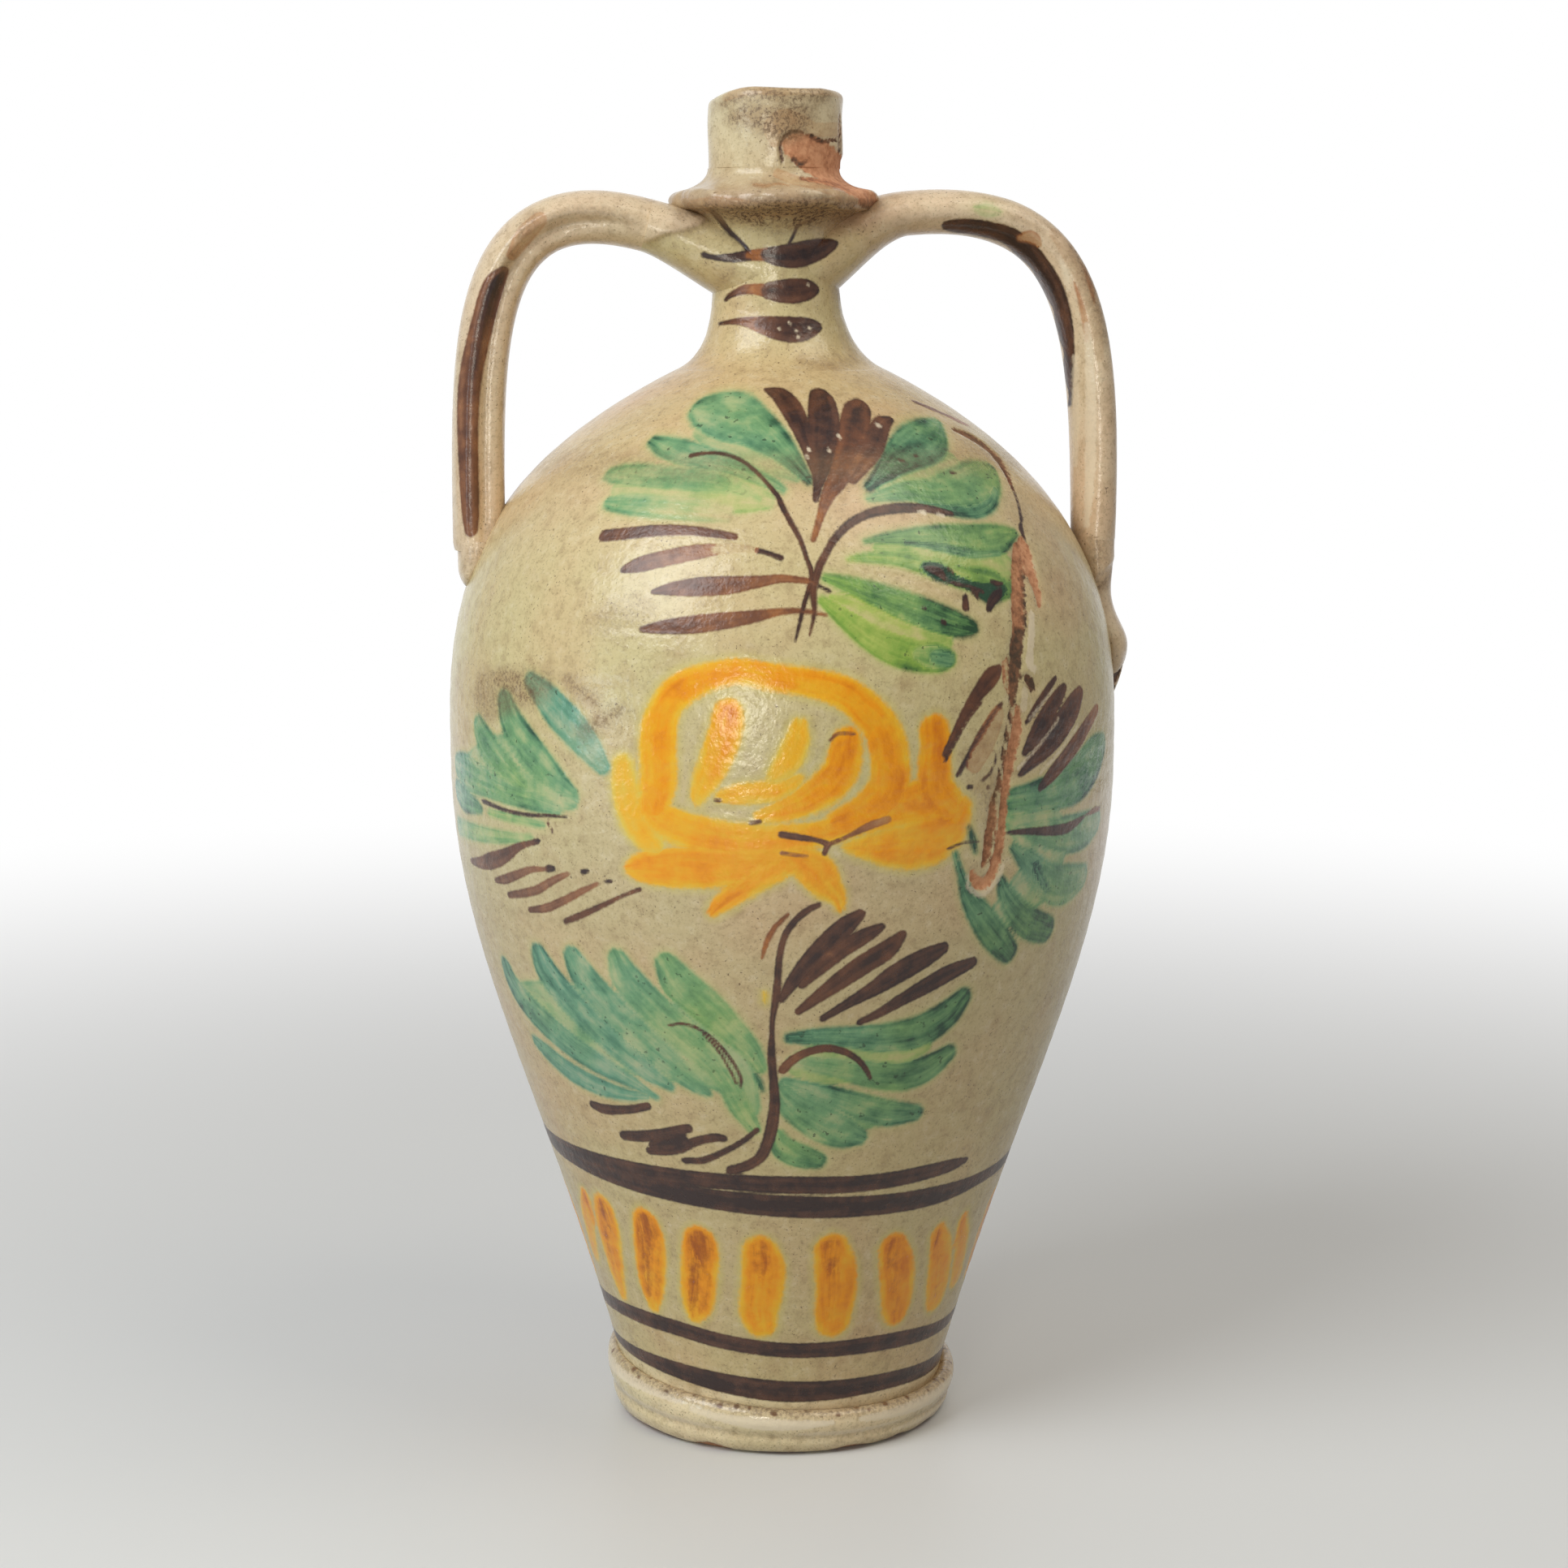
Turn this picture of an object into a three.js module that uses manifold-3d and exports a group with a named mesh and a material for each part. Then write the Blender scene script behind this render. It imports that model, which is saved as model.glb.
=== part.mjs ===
// Two-handled majolica water jug: a terracotta body thrown in two halves, on a turned foot ring, with a
// narrow neck, a flanged collar, a short mouth, and two pulled strap handles held by wads of clay.
// Millimetres, +Z up. The origin is on the table, at the middle of the foot ring.
import * as THREE from 'three';
import { mergeVertices } from 'three/addons/utils/BufferGeometryUtils.js';
import Module from 'manifold-3d';

const wasm = await Module();
wasm.setup();

// Heights of the thrown pieces, one on top of the other
const FOOT_HEIGHT = 19;
const LOWER_BODY_HEIGHT = 184;
const UPPER_BODY_HEIGHT = 116;
const NECK_HEIGHT = 33;
const COLLAR_HEIGHT = 25;
const MOUTH_HEIGHT = 23;

// Clearance between pieces where slip fills the joint
const FIT = 0.3;

// Foot ring: the sole that it stands on, its rounded bulge and the recess under the floor
const SOLE_RADIUS = 48;
const FOOT_RADIUS = 54;
const FOOT_BULGE_HEIGHT = 11;
const FOOT_ROUNDING = 6;
const FOOT_WALL = 15;
const FOOT_LEDGE = 12;
const RECESS_DEPTH = 7;

// Body: outer radii, wall and floor, and the lapped joint at the belly
const WAIST_RADIUS = 51;
const BELLY_RADIUS = 99.7;
const SHOULDER_RADIUS = 30;
const BODY_WALL = 7;
const FLOOR_THICKNESS = 10;
const FLOOR_CORNER = 15;
const LAP_HEIGHT = 6;
const LAP_THICKNESS = 3.5;

// Body curve: the slopes at the foot and the shoulder, and how far each end of the curve runs on
const WAIST_FLARE = THREE.MathUtils.degToRad(15.6);
const SHOULDER_SLOPE = THREE.MathUtils.degToRad(26.4);
const WAIST_PULL = 90;
const BELLY_PULL_DOWN = 56;
const BELLY_PULL_UP = 32;
const SHOULDER_PULL = 81.5;

// Neck, collar and mouth: outer radii, the bore through all three, and the spigots that centre them
const NECK_RADIUS = 18.6;
const NECK_FLARE_HEIGHT = 26;
const NECK_FLARE_PULL = 8;
const NECK_THROAT_PULL = 14;
const COLLAR_RADIUS = 30.5;
const COLLAR_EDGE = 5.6;
const COLLAR_CORNER = 1.9;
const COLLAR_UNDERCUT = 13;
const MOUTH_RADIUS = 19.7;
const RIM_ROUNDING = 3;
const BORE_RADIUS = 13.8;
const SPIGOT_WALL = 2;
const SPIGOT_HEIGHT = 4;

// Upper roots of the handles: a saddle of clay on the neck, spreading from the strap's section
const ROOT_GAP = 3;
const ROOT_RISE = -4;
const ROOT_DEPTH = 30;
const ROOT_SPREAD = 41;
const ROOT_FLARE = 1.5;
const ROOT_BEYOND_COLLAR = 8;
const ROOT_PULL = 12;

// Straps: thickness towards the jug, breadth round it, how far off the shoulder they land, how far above
// the neck they leave their upper root and at what slope, and the bow of the curve
const LEFT_THICKNESS = 15.5;
const LEFT_BREADTH = 22;
const LEFT_STAND_OFF = -5.3;
const LEFT_RISE = 8.7;
const LEFT_SLOPE = THREE.MathUtils.degToRad(14);
const RIGHT_THICKNESS = 13;
const RIGHT_BREADTH = 21;
const RIGHT_STAND_OFF = 0.5;
const RIGHT_RISE = 12.2;
const RIGHT_SLOPE = THREE.MathUtils.degToRad(6);
const CROWN_PULL = 54;
const LANDING_PULL = 60;

// Lower roots: where the strap lands below the top of the shoulder, and the tail smeared down the wall
const LANDING_DROP = 50;
const LEFT_TAIL_LENGTH = 14;
const RIGHT_TAIL_LENGTH = 46;
const LEFT_PAD_BREADTH = 25;
const RIGHT_PAD_BREADTH = 32;
const LEFT_PAD_SWELL = 0.5;
const RIGHT_PAD_SWELL = 4;
const TAIL_THICKNESS = 3;
const TAIL_BREADTH = 14;

// Glazes: colour and roughness, from yellowish at the foot to greenish at the neck
const FOOT_GLAZE = { color: 0xb5a070, roughness: 0.45 };
const LOWER_GLAZE = { color: 0xc9b78c, roughness: 0.35 };
const SHOULDER_GLAZE = { color: 0xcdb68c, roughness: 0.35 };
const NECK_GLAZE = { color: 0xc2b686, roughness: 0.35 };
const MOUTH_GLAZE = { color: 0xbfb08c, roughness: 0.42 };
const STRAP_GLAZE = { color: 0xc4ac7e, roughness: 0.35 };
const ROOT_GLAZE = { color: 0xb8a87e, roughness: 0.4 };

// Fineness of the curves
const TURN_SEGMENTS = 48;
const BODY_STEPS = 12;
const INSIDE_STEPS = 8;
const SMALL_STEPS = 4;
const STRAP_SIDES = 16;
const STRAP_STEPS = 16;
const ROOT_STEPS = 8;

// Heights above the table
const beltHeight = FOOT_HEIGHT + LOWER_BODY_HEIGHT;
const shoulderHeight = beltHeight + UPPER_BODY_HEIGHT;
const neckTop = shoulderHeight + NECK_HEIGHT;
const collarTop = neckTop + COLLAR_HEIGHT;
const rimHeight = collarTop + MOUTH_HEIGHT;

// Radii that follow from the walls
const footBore = SOLE_RADIUS - FOOT_WALL;
const baseRadius = footBore + FOOT_LEDGE;
const innerBelly = BELLY_RADIUS - BODY_WALL;
const lapRadius = BELLY_RADIUS - LAP_THICKNESS;
const spigotRadius = BORE_RADIUS + SPIGOT_WALL;
const socketRadius = spigotRadius + FIT;

const at = (radius, height) => new THREE.Vector2(radius, height);

// A point moved by a distance in a direction that is given as an angle above the horizontal
function moved(point, angle, distance) {
  return at(point.x + Math.cos(angle) * distance, point.y + Math.sin(angle) * distance);
}

// Points of an outline, moved square to it by a distance that is positive towards the outside
function offsetPoints(curve, distance, steps) {
  return curve.getPoints(steps).map((point, step) => {
    const along = curve.getTangent(step / steps);
    return at(point.x + along.y * distance, point.y - along.x * distance);
  });
}

// A closed mesh with its shared corners merged
function welded(geometry) {
  geometry.deleteAttribute('normal');
  geometry.deleteAttribute('uv');
  return mergeVertices(geometry);
}

// A profile of radii and heights turned once round the jug's axis, counterclockwise from its lowest point
function turned(profile) {
  const geometry = new THREE.LatheGeometry(profile, TURN_SEGMENTS);
  return welded(geometry.rotateX(Math.PI / 2));
}

function closed(profile) {
  return [...profile, profile[0].clone()];
}

function asSolid(geometry) {
  const vertProperties = Float32Array.from(geometry.attributes.position.array);
  const triVerts = Uint32Array.from(geometry.index.array);
  return new wasm.Manifold(new wasm.Mesh({ numProp: 3, vertProperties, triVerts }));
}

function asGeometry(solid) {
  const { vertProperties, triVerts } = solid.getMesh();
  const geometry = new THREE.BufferGeometry();
  geometry.setAttribute('position', new THREE.BufferAttribute(vertProperties, 3));
  geometry.setIndex(new THREE.BufferAttribute(triVerts, 1));
  return geometry;
}

// Body outlines: foot to belly, and belly to the top of the shoulder
const waist = at(WAIST_RADIUS, FOOT_HEIGHT);
const belly = at(BELLY_RADIUS, beltHeight);
const shoulder = at(SHOULDER_RADIUS, shoulderHeight);
const lowerOutline = new THREE.CubicBezierCurve(
  waist,
  moved(waist, Math.PI / 2 - WAIST_FLARE, WAIST_PULL),
  at(BELLY_RADIUS, beltHeight - BELLY_PULL_DOWN),
  belly,
);
const upperOutline = new THREE.CubicBezierCurve(
  belly,
  at(BELLY_RADIUS, beltHeight + BELLY_PULL_UP),
  moved(shoulder, -SHOULDER_SLOPE, SHOULDER_PULL),
  shoulder,
);

// Neck outline: out of the shoulder's slope, round into a straight throat
const throat = at(NECK_RADIUS, shoulderHeight + NECK_FLARE_HEIGHT);
const neckOutline = new THREE.CubicBezierCurve(
  shoulder,
  moved(shoulder, Math.PI - SHOULDER_SLOPE, NECK_FLARE_PULL),
  at(NECK_RADIUS, throat.y - NECK_THROAT_PULL),
  throat,
);

// Collar outline: a hollow underside, a nearly upright edge with rounded corners and a hollow top
const edgeLow = neckTop + COLLAR_UNDERCUT;
const edgeHigh = edgeLow + COLLAR_EDGE;
const collarUnderside = new THREE.QuadraticBezierCurve(
  at(NECK_RADIUS, neckTop),
  at(NECK_RADIUS, edgeLow - COLLAR_CORNER),
  at(COLLAR_RADIUS - COLLAR_CORNER, edgeLow),
);
const collarEdge = new THREE.CubicBezierCurve(
  at(COLLAR_RADIUS - COLLAR_CORNER, edgeLow),
  at(COLLAR_RADIUS + COLLAR_CORNER / 2, edgeLow + COLLAR_CORNER / 2),
  at(COLLAR_RADIUS + COLLAR_CORNER / 2, edgeHigh - COLLAR_CORNER / 2),
  at(COLLAR_RADIUS - COLLAR_CORNER, edgeHigh),
);
const collarTopside = new THREE.QuadraticBezierCurve(
  at(COLLAR_RADIUS - COLLAR_CORNER, edgeHigh),
  at(MOUTH_RADIUS, edgeHigh + COLLAR_CORNER),
  at(MOUTH_RADIUS, collarTop),
);

function footRing() {
  const bulge = new THREE.CubicBezierCurve(
    at(SOLE_RADIUS, 0),
    at(SOLE_RADIUS + FOOT_ROUNDING / 2, 0),
    at(FOOT_RADIUS, FOOT_BULGE_HEIGHT - FOOT_ROUNDING),
    at(FOOT_RADIUS, FOOT_BULGE_HEIGHT),
  );
  const shoulderOfFoot = new THREE.QuadraticBezierCurve(
    at(FOOT_RADIUS, FOOT_BULGE_HEIGHT),
    at(FOOT_RADIUS, FOOT_HEIGHT),
    at(WAIST_RADIUS, FOOT_HEIGHT),
  );
  return turned(closed([
    at(footBore, 0),
    ...bulge.getPoints(SMALL_STEPS),
    ...shoulderOfFoot.getPoints(SMALL_STEPS).slice(1),
    at(baseRadius + FIT, FOOT_HEIGHT),
    at(baseRadius + FIT, RECESS_DEPTH),
    at(footBore, RECESS_DEPTH),
  ]));
}

function lowerBody() {
  const floorTop = RECESS_DEPTH + FLOOR_THICKNESS;
  const wallInside = offsetPoints(lowerOutline, -BODY_WALL, INSIDE_STEPS).slice(0, -1);
  const inside = wallInside.filter((point) => point.y > floorTop + FLOOR_CORNER);
  const floorRadius = baseRadius - BODY_WALL;
  const corner = new THREE.QuadraticBezierCurve(
    inside[0],
    at(floorRadius, floorTop),
    at(floorRadius - FLOOR_CORNER, floorTop),
  );
  return turned([
    at(0, RECESS_DEPTH),
    at(baseRadius, RECESS_DEPTH),
    at(baseRadius, FOOT_HEIGHT),
    ...lowerOutline.getPoints(BODY_STEPS),
    at(lapRadius - FIT, beltHeight),
    at(lapRadius - FIT, beltHeight + LAP_HEIGHT),
    at(innerBelly, beltHeight + LAP_HEIGHT),
    at(innerBelly, beltHeight),
    ...inside.reverse(),
    ...corner.getPoints(SMALL_STEPS).slice(1),
    at(0, floorTop),
  ]);
}

function upperBody() {
  const lapTop = beltHeight + LAP_HEIGHT + FIT;
  const wallInside = offsetPoints(upperOutline, -BODY_WALL, INSIDE_STEPS);
  const inside = wallInside.filter((point) => point.y > lapTop + FIT);
  const eyeBottom = inside.at(-1).y;
  return turned(closed([
    ...upperOutline.getPoints(BODY_STEPS),
    at(socketRadius, shoulderHeight),
    at(socketRadius, eyeBottom),
    ...inside.reverse(),
    at(innerBelly, lapTop),
    at(lapRadius, lapTop),
    at(lapRadius, beltHeight),
  ]));
}

function neck() {
  return turned(closed([
    at(BORE_RADIUS, shoulderHeight - SPIGOT_HEIGHT),
    at(spigotRadius, shoulderHeight - SPIGOT_HEIGHT),
    at(spigotRadius, shoulderHeight),
    ...neckOutline.getPoints(SMALL_STEPS),
    at(NECK_RADIUS, neckTop),
    at(spigotRadius, neckTop),
    at(spigotRadius, neckTop + SPIGOT_HEIGHT),
    at(BORE_RADIUS, neckTop + SPIGOT_HEIGHT),
  ]));
}

function collar() {
  return turned(closed([
    at(socketRadius, neckTop),
    ...collarUnderside.getPoints(SMALL_STEPS),
    ...collarEdge.getPoints(SMALL_STEPS).slice(1),
    ...collarTopside.getPoints(SMALL_STEPS).slice(1),
    at(socketRadius, collarTop),
    at(socketRadius, collarTop - SPIGOT_HEIGHT - FIT),
    at(BORE_RADIUS, collarTop - SPIGOT_HEIGHT - FIT),
    at(BORE_RADIUS, neckTop + SPIGOT_HEIGHT + FIT),
    at(socketRadius, neckTop + SPIGOT_HEIGHT + FIT),
  ]));
}

function mouth() {
  const outerRim = new THREE.QuadraticBezierCurve(
    at(MOUTH_RADIUS, rimHeight - RIM_ROUNDING),
    at(MOUTH_RADIUS, rimHeight),
    at(MOUTH_RADIUS - RIM_ROUNDING, rimHeight),
  );
  return turned(closed([
    at(BORE_RADIUS, collarTop - SPIGOT_HEIGHT),
    at(spigotRadius, collarTop - SPIGOT_HEIGHT),
    at(spigotRadius, collarTop),
    at(MOUTH_RADIUS, collarTop),
    ...outerRim.getPoints(SMALL_STEPS),
    at(BORE_RADIUS, rimHeight),
  ]));
}

// A strap of oval section: a round bar bent along a path in the jug's middle plane
function strap(path, thicknessAt, breadthAt, steps) {
  const bar = new THREE.CylinderGeometry(0.5, 0.5, 1, STRAP_SIDES, steps);
  const corners = bar.attributes.position;
  for (let corner = 0; corner < corners.count; corner++) {
    const share = corners.getY(corner) + 0.5;
    const centre = path.getPoint(share);
    const along = path.getTangent(share);
    const out = corners.getX(corner) * thicknessAt(share);
    const round = corners.getZ(corner) * breadthAt(share);
    corners.setXYZ(corner, centre.x - along.y * out, round, centre.y + along.x * out);
  }
  return welded(bar);
}

// Radius of the shoulder's outside at a height
function shoulderRadiusAt(height) {
  const points = upperOutline.getPoints(BODY_STEPS);
  const above = points.findIndex((point) => point.y >= height);
  const low = points[above - 1];
  const high = points[above];
  return THREE.MathUtils.mapLinear(height, low.y, high.y, low.x, high.x);
}

// What the wads of clay are pressed against, grown by the joint's clearance
const shoulderCutter = asSolid(turned([
  at(0, beltHeight),
  ...offsetPoints(upperOutline, FIT, BODY_STEPS),
  at(0, shoulderHeight + FIT),
]));
const neckCutter = asSolid(turned([
  at(0, shoulderHeight),
  ...offsetPoints(neckOutline, FIT, SMALL_STEPS),
  ...offsetPoints(collarUnderside, FIT, SMALL_STEPS),
  ...offsetPoints(collarEdge, FIT, SMALL_STEPS).slice(1),
  at(0, edgeHigh + FIT),
]));

// One handle on the jug's right: its upper root, strap and lower root, end to end with a slip joint between
function handle({ thickness, breadth, standOff, rise, slope, tailLength, padBreadth, padSwell }) {
  const rootStart = at(ROOT_GAP / 2, neckTop + ROOT_RISE);
  const rootEnd = at(COLLAR_RADIUS + ROOT_BEYOND_COLLAR, neckTop + rise);
  const landingHeight = shoulderHeight - LANDING_DROP;
  const landing = at(shoulderRadiusAt(landingHeight) + standOff + thickness / 2, landingHeight);
  const tailHeight = landingHeight - tailLength;
  const tail = at(shoulderRadiusAt(tailHeight), tailHeight);

  const rootPath = new THREE.CubicBezierCurve(
    rootStart,
    at(rootStart.x + ROOT_PULL, rootStart.y),
    moved(rootEnd, slope, -ROOT_PULL),
    rootEnd,
  );
  const strapStart = moved(rootEnd, slope, FIT);
  const strapEnd = at(landing.x, landing.y + FIT);
  const strapPath = new THREE.CubicBezierCurve(
    strapStart,
    moved(strapStart, slope, CROWN_PULL),
    at(strapEnd.x, strapEnd.y + LANDING_PULL),
    strapEnd,
  );
  const tailPath = new THREE.CubicBezierCurve(
    landing,
    at(landing.x, landing.y - tailLength / 3),
    at(tail.x, tail.y + tailLength / 3),
    tail,
  );

  const upperRoot = strap(
    rootPath,
    (share) => THREE.MathUtils.lerp(thickness, ROOT_DEPTH, (1 - share) ** ROOT_FLARE),
    (share) => THREE.MathUtils.lerp(ROOT_SPREAD, breadth, share),
    ROOT_STEPS,
  );
  const wholeStrap = strap(strapPath, () => thickness, () => breadth, STRAP_STEPS);
  const bulging = (share) => Math.sin(Math.PI * share);
  const lowerRoot = strap(
    tailPath,
    (share) => THREE.MathUtils.lerp(thickness, TAIL_THICKNESS, share) + padSwell * bulging(share),
    (share) => THREE.MathUtils.lerp(breadth, TAIL_BREADTH, share) + (padBreadth - breadth) * bulging(share),
    ROOT_STEPS,
  );
  return {
    upperRoot: asGeometry(asSolid(upperRoot).subtract(neckCutter)),
    strap: asGeometry(asSolid(wholeStrap).subtract(shoulderCutter)),
    lowerRoot: asGeometry(asSolid(lowerRoot).subtract(shoulderCutter)),
  };
}

const leftHandle = handle({
  thickness: LEFT_THICKNESS,
  breadth: LEFT_BREADTH,
  standOff: LEFT_STAND_OFF,
  rise: LEFT_RISE,
  slope: LEFT_SLOPE,
  tailLength: LEFT_TAIL_LENGTH,
  padBreadth: LEFT_PAD_BREADTH,
  padSwell: LEFT_PAD_SWELL,
});
const rightHandle = handle({
  thickness: RIGHT_THICKNESS,
  breadth: RIGHT_BREADTH,
  standOff: RIGHT_STAND_OFF,
  rise: RIGHT_RISE,
  slope: RIGHT_SLOPE,
  tailLength: RIGHT_TAIL_LENGTH,
  padBreadth: RIGHT_PAD_BREADTH,
  padSwell: RIGHT_PAD_SWELL,
});

// The left handle is made on the right and turned half round
const jug = new THREE.Group();
const leftSide = new THREE.Group();
leftSide.rotation.z = Math.PI;
jug.add(leftSide);

// Each piece has its own material, made from its glaze
function add(group, name, geometry, glaze) {
  const mesh = new THREE.Mesh(geometry, new THREE.MeshStandardMaterial({ ...glaze, metalness: 0 }));
  mesh.name = name;
  group.add(mesh);
}

add(jug, 'foot_ring', footRing(), FOOT_GLAZE);
add(jug, 'lower_body', lowerBody(), LOWER_GLAZE);
add(jug, 'upper_body', upperBody(), SHOULDER_GLAZE);
add(jug, 'neck', neck(), NECK_GLAZE);
add(jug, 'collar', collar(), MOUTH_GLAZE);
add(jug, 'mouth', mouth(), MOUTH_GLAZE);
add(jug, 'right_upper_root', rightHandle.upperRoot, ROOT_GLAZE);
add(jug, 'right_handle', rightHandle.strap, STRAP_GLAZE);
add(jug, 'right_lower_root', rightHandle.lowerRoot, ROOT_GLAZE);
add(leftSide, 'left_upper_root', leftHandle.upperRoot, ROOT_GLAZE);
add(leftSide, 'left_handle', leftHandle.strap, STRAP_GLAZE);
add(leftSide, 'left_lower_root', leftHandle.lowerRoot, ROOT_GLAZE);

export default jug;
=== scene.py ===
import math

import bmesh
import bpy
import numpy as np
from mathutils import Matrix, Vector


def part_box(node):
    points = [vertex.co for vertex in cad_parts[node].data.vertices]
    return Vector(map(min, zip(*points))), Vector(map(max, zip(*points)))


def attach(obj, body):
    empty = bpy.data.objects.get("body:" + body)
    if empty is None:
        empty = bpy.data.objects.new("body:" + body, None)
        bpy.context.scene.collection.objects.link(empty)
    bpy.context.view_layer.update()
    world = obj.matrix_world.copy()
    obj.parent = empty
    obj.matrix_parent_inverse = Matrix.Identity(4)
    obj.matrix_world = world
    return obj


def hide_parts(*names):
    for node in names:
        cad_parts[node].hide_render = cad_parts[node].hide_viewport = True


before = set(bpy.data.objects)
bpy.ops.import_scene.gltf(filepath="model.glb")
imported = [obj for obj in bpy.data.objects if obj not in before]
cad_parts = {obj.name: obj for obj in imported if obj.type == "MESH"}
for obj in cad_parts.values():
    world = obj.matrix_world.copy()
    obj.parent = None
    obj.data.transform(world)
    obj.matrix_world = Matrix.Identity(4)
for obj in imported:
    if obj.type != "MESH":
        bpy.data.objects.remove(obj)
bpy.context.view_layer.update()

# The body: red earthenware thrown on the wheel in two halves, joined at the belly while the clay is soft,
# and dipped in tin glaze. Leaves, flower and bands are brushed on the raw glaze in copper green,
# manganese brown and antimony yellow, and sink into it in the fire.
MM = 0.001
FRONT = math.radians(-6)
WAIST_RADIUS = 51
SHOULDER_RADIUS = 30
WAIST_FLARE = math.radians(15.6)
SHOULDER_SLOPE = math.radians(26.4)
WAIST_PULL = 90
BELLY_PULL_DOWN = 56
BELLY_PULL_UP = 32
SHOULDER_PULL = 81.5
BODY_WALL = 7
BASE_RADIUS = 45
HEEL_RADIUS = 49.6
HEEL_TOP = (49.4, 13)
EYE_RADIUS = 16
FLOOR_HEIGHT = 17
LOWER_CELL = 0.8
UPPER_CELL = 0.7
INSIDE_CELL = 20
BODY_STEPS = 360
FRONT_CROWDING = 0.65
SECTORS = 20
CURVE_POINTS = 300
MERGE_DISTANCE = 0.002
SHARP_ARRIS = math.radians(50)

base_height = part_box("lower_body")[0].z / MM
waist_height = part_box("foot_ring")[1].z / MM
belt_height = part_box("upper_body")[0].z / MM
shoulder_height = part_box("upper_body")[1].z / MM
belly_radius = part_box("upper_body")[1].x / MM
rim_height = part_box("mouth")[1].z / MM


def bow(*controls):
    """Points along a Bezier curve."""
    share = np.linspace(0, 1, CURVE_POINTS)[:, None]
    line = [np.array(control, float) for control in controls]
    while len(line) > 1:
        line = [start + (end - start) * share for start, end in zip(line, line[1:])]
    return line[0]


def evenly(line, step):
    """The same line with its points a step apart."""
    along = np.insert(np.cumsum(np.linalg.norm(np.diff(line, axis=0), axis=1)), 0, 0)
    stations = np.linspace(0, along[-1], max(2, round(along[-1] / step) + 1))
    return np.column_stack([np.interp(stations, along, column) for column in line.T])


def inside(line, wall):
    """An outline moved inwards by the wall."""
    slope = np.gradient(line, axis=0)
    slope /= np.linalg.norm(slope, axis=1)[:, None]
    return line - wall * np.column_stack((slope[:, 1], -slope[:, 0]))


def finished(name, node, shape):
    """A piece from its bmesh, smooth shaded, in place of the plain solid."""
    bmesh.ops.remove_doubles(shape, verts=shape.verts, dist=MERGE_DISTANCE * MM)
    bmesh.ops.recalc_face_normals(shape, faces=shape.faces)
    mesh = bpy.data.meshes.new(name)
    shape.to_mesh(mesh)
    shape.free()
    mesh.shade_smooth()
    piece = bpy.data.objects.new(name, mesh)
    bpy.context.scene.collection.objects.link(piece)
    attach(piece, "root")
    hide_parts(node)
    return piece


def places(piece):
    """Where the piece's vertices are, in millimetres."""
    flat = np.empty(len(piece.data.vertices) * 3)
    piece.data.vertices.foreach_get("co", flat)
    return flat.reshape(-1, 3) / MM


def polar(points):
    """How far each vertex is from the wheel's axis, and its turn round it from the camera's side."""
    return np.hypot(points[:, 0], points[:, 1]), np.arctan2(points[:, 0], -points[:, 1])


def swollen(points, swell):
    """The vertices moved away from the axis, in millimetres."""
    stretch = 1 + swell / np.maximum(polar(points)[0], 1)
    return points * np.column_stack((stretch, stretch, np.ones(len(points))))


def settle(piece, moved):
    """Puts the vertices where they were moved to and splits the shading at sharp arrises."""
    piece.data.vertices.foreach_set("co", (moved * MM).ravel())
    piece.data.update()
    piece.data.set_sharp_from_angle(angle=SHARP_ARRIS)


def thrown(name, node, profile, steps, closed):
    """A profile of radii and heights turned round the wheel's axis, finest at the painted front."""
    shape = bmesh.new()
    ring = [shape.verts.new((0, -radius * MM, height * MM)) for radius, height in profile]
    line = [shape.edges.new(pair) for pair in zip(ring, ring[1:])]
    if closed:
        line.append(shape.edges.new((ring[-1], ring[0])))
    wheel = dict(cent=(0, 0, 0), axis=(0, 0, 1))
    sector = math.tau / SECTORS
    bmesh.ops.spin(shape, geom=ring + line, angle=sector, steps=steps // SECTORS, **wheel)
    first = shape.verts[:] + shape.edges[:] + shape.faces[:]
    rest = math.tau - sector
    bmesh.ops.spin(shape, geom=first, angle=rest, steps=SECTORS - 1, use_duplicate=True, **wheel)
    piece = finished(name, node, shape)
    points = places(piece)
    radius, turn = polar(points)
    turn = turn - FRONT_CROWDING * np.sin(turn) + FRONT
    settle(piece, np.column_stack((radius * np.sin(turn), -radius * np.cos(turn), points[:, 2])))
    return piece


lower_outline = bow(
    (WAIST_RADIUS, waist_height),
    (WAIST_RADIUS + WAIST_PULL * math.sin(WAIST_FLARE), waist_height + WAIST_PULL * math.cos(WAIST_FLARE)),
    (belly_radius, belt_height - BELLY_PULL_DOWN),
    (belly_radius, belt_height),
)
upper_outline = bow(
    (belly_radius, belt_height),
    (belly_radius, belt_height + BELLY_PULL_UP),
    (
        SHOULDER_RADIUS + SHOULDER_PULL * math.cos(SHOULDER_SLOPE),
        shoulder_height - SHOULDER_PULL * math.sin(SHOULDER_SLOPE),
    ),
    (SHOULDER_RADIUS, shoulder_height),
)
lower_inside = evenly(inside(lower_outline, BODY_WALL), INSIDE_CELL)[1:]
upper_inside = evenly(inside(upper_outline, BODY_WALL), INSIDE_CELL)
heel_outline = bow((BASE_RADIUS, base_height), (HEEL_RADIUS, base_height), HEEL_TOP, lower_outline[0])
lower_body = thrown(
    "painted_lower_body",
    "lower_body",
    np.vstack((
        (0, base_height),
        (BASE_RADIUS, base_height),
        evenly(heel_outline, LOWER_CELL)[1:-1],
        evenly(lower_outline, LOWER_CELL),
        lower_inside[::-1],
        (0, FLOOR_HEIGHT),
    )),
    BODY_STEPS,
    closed=False,
)
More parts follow.
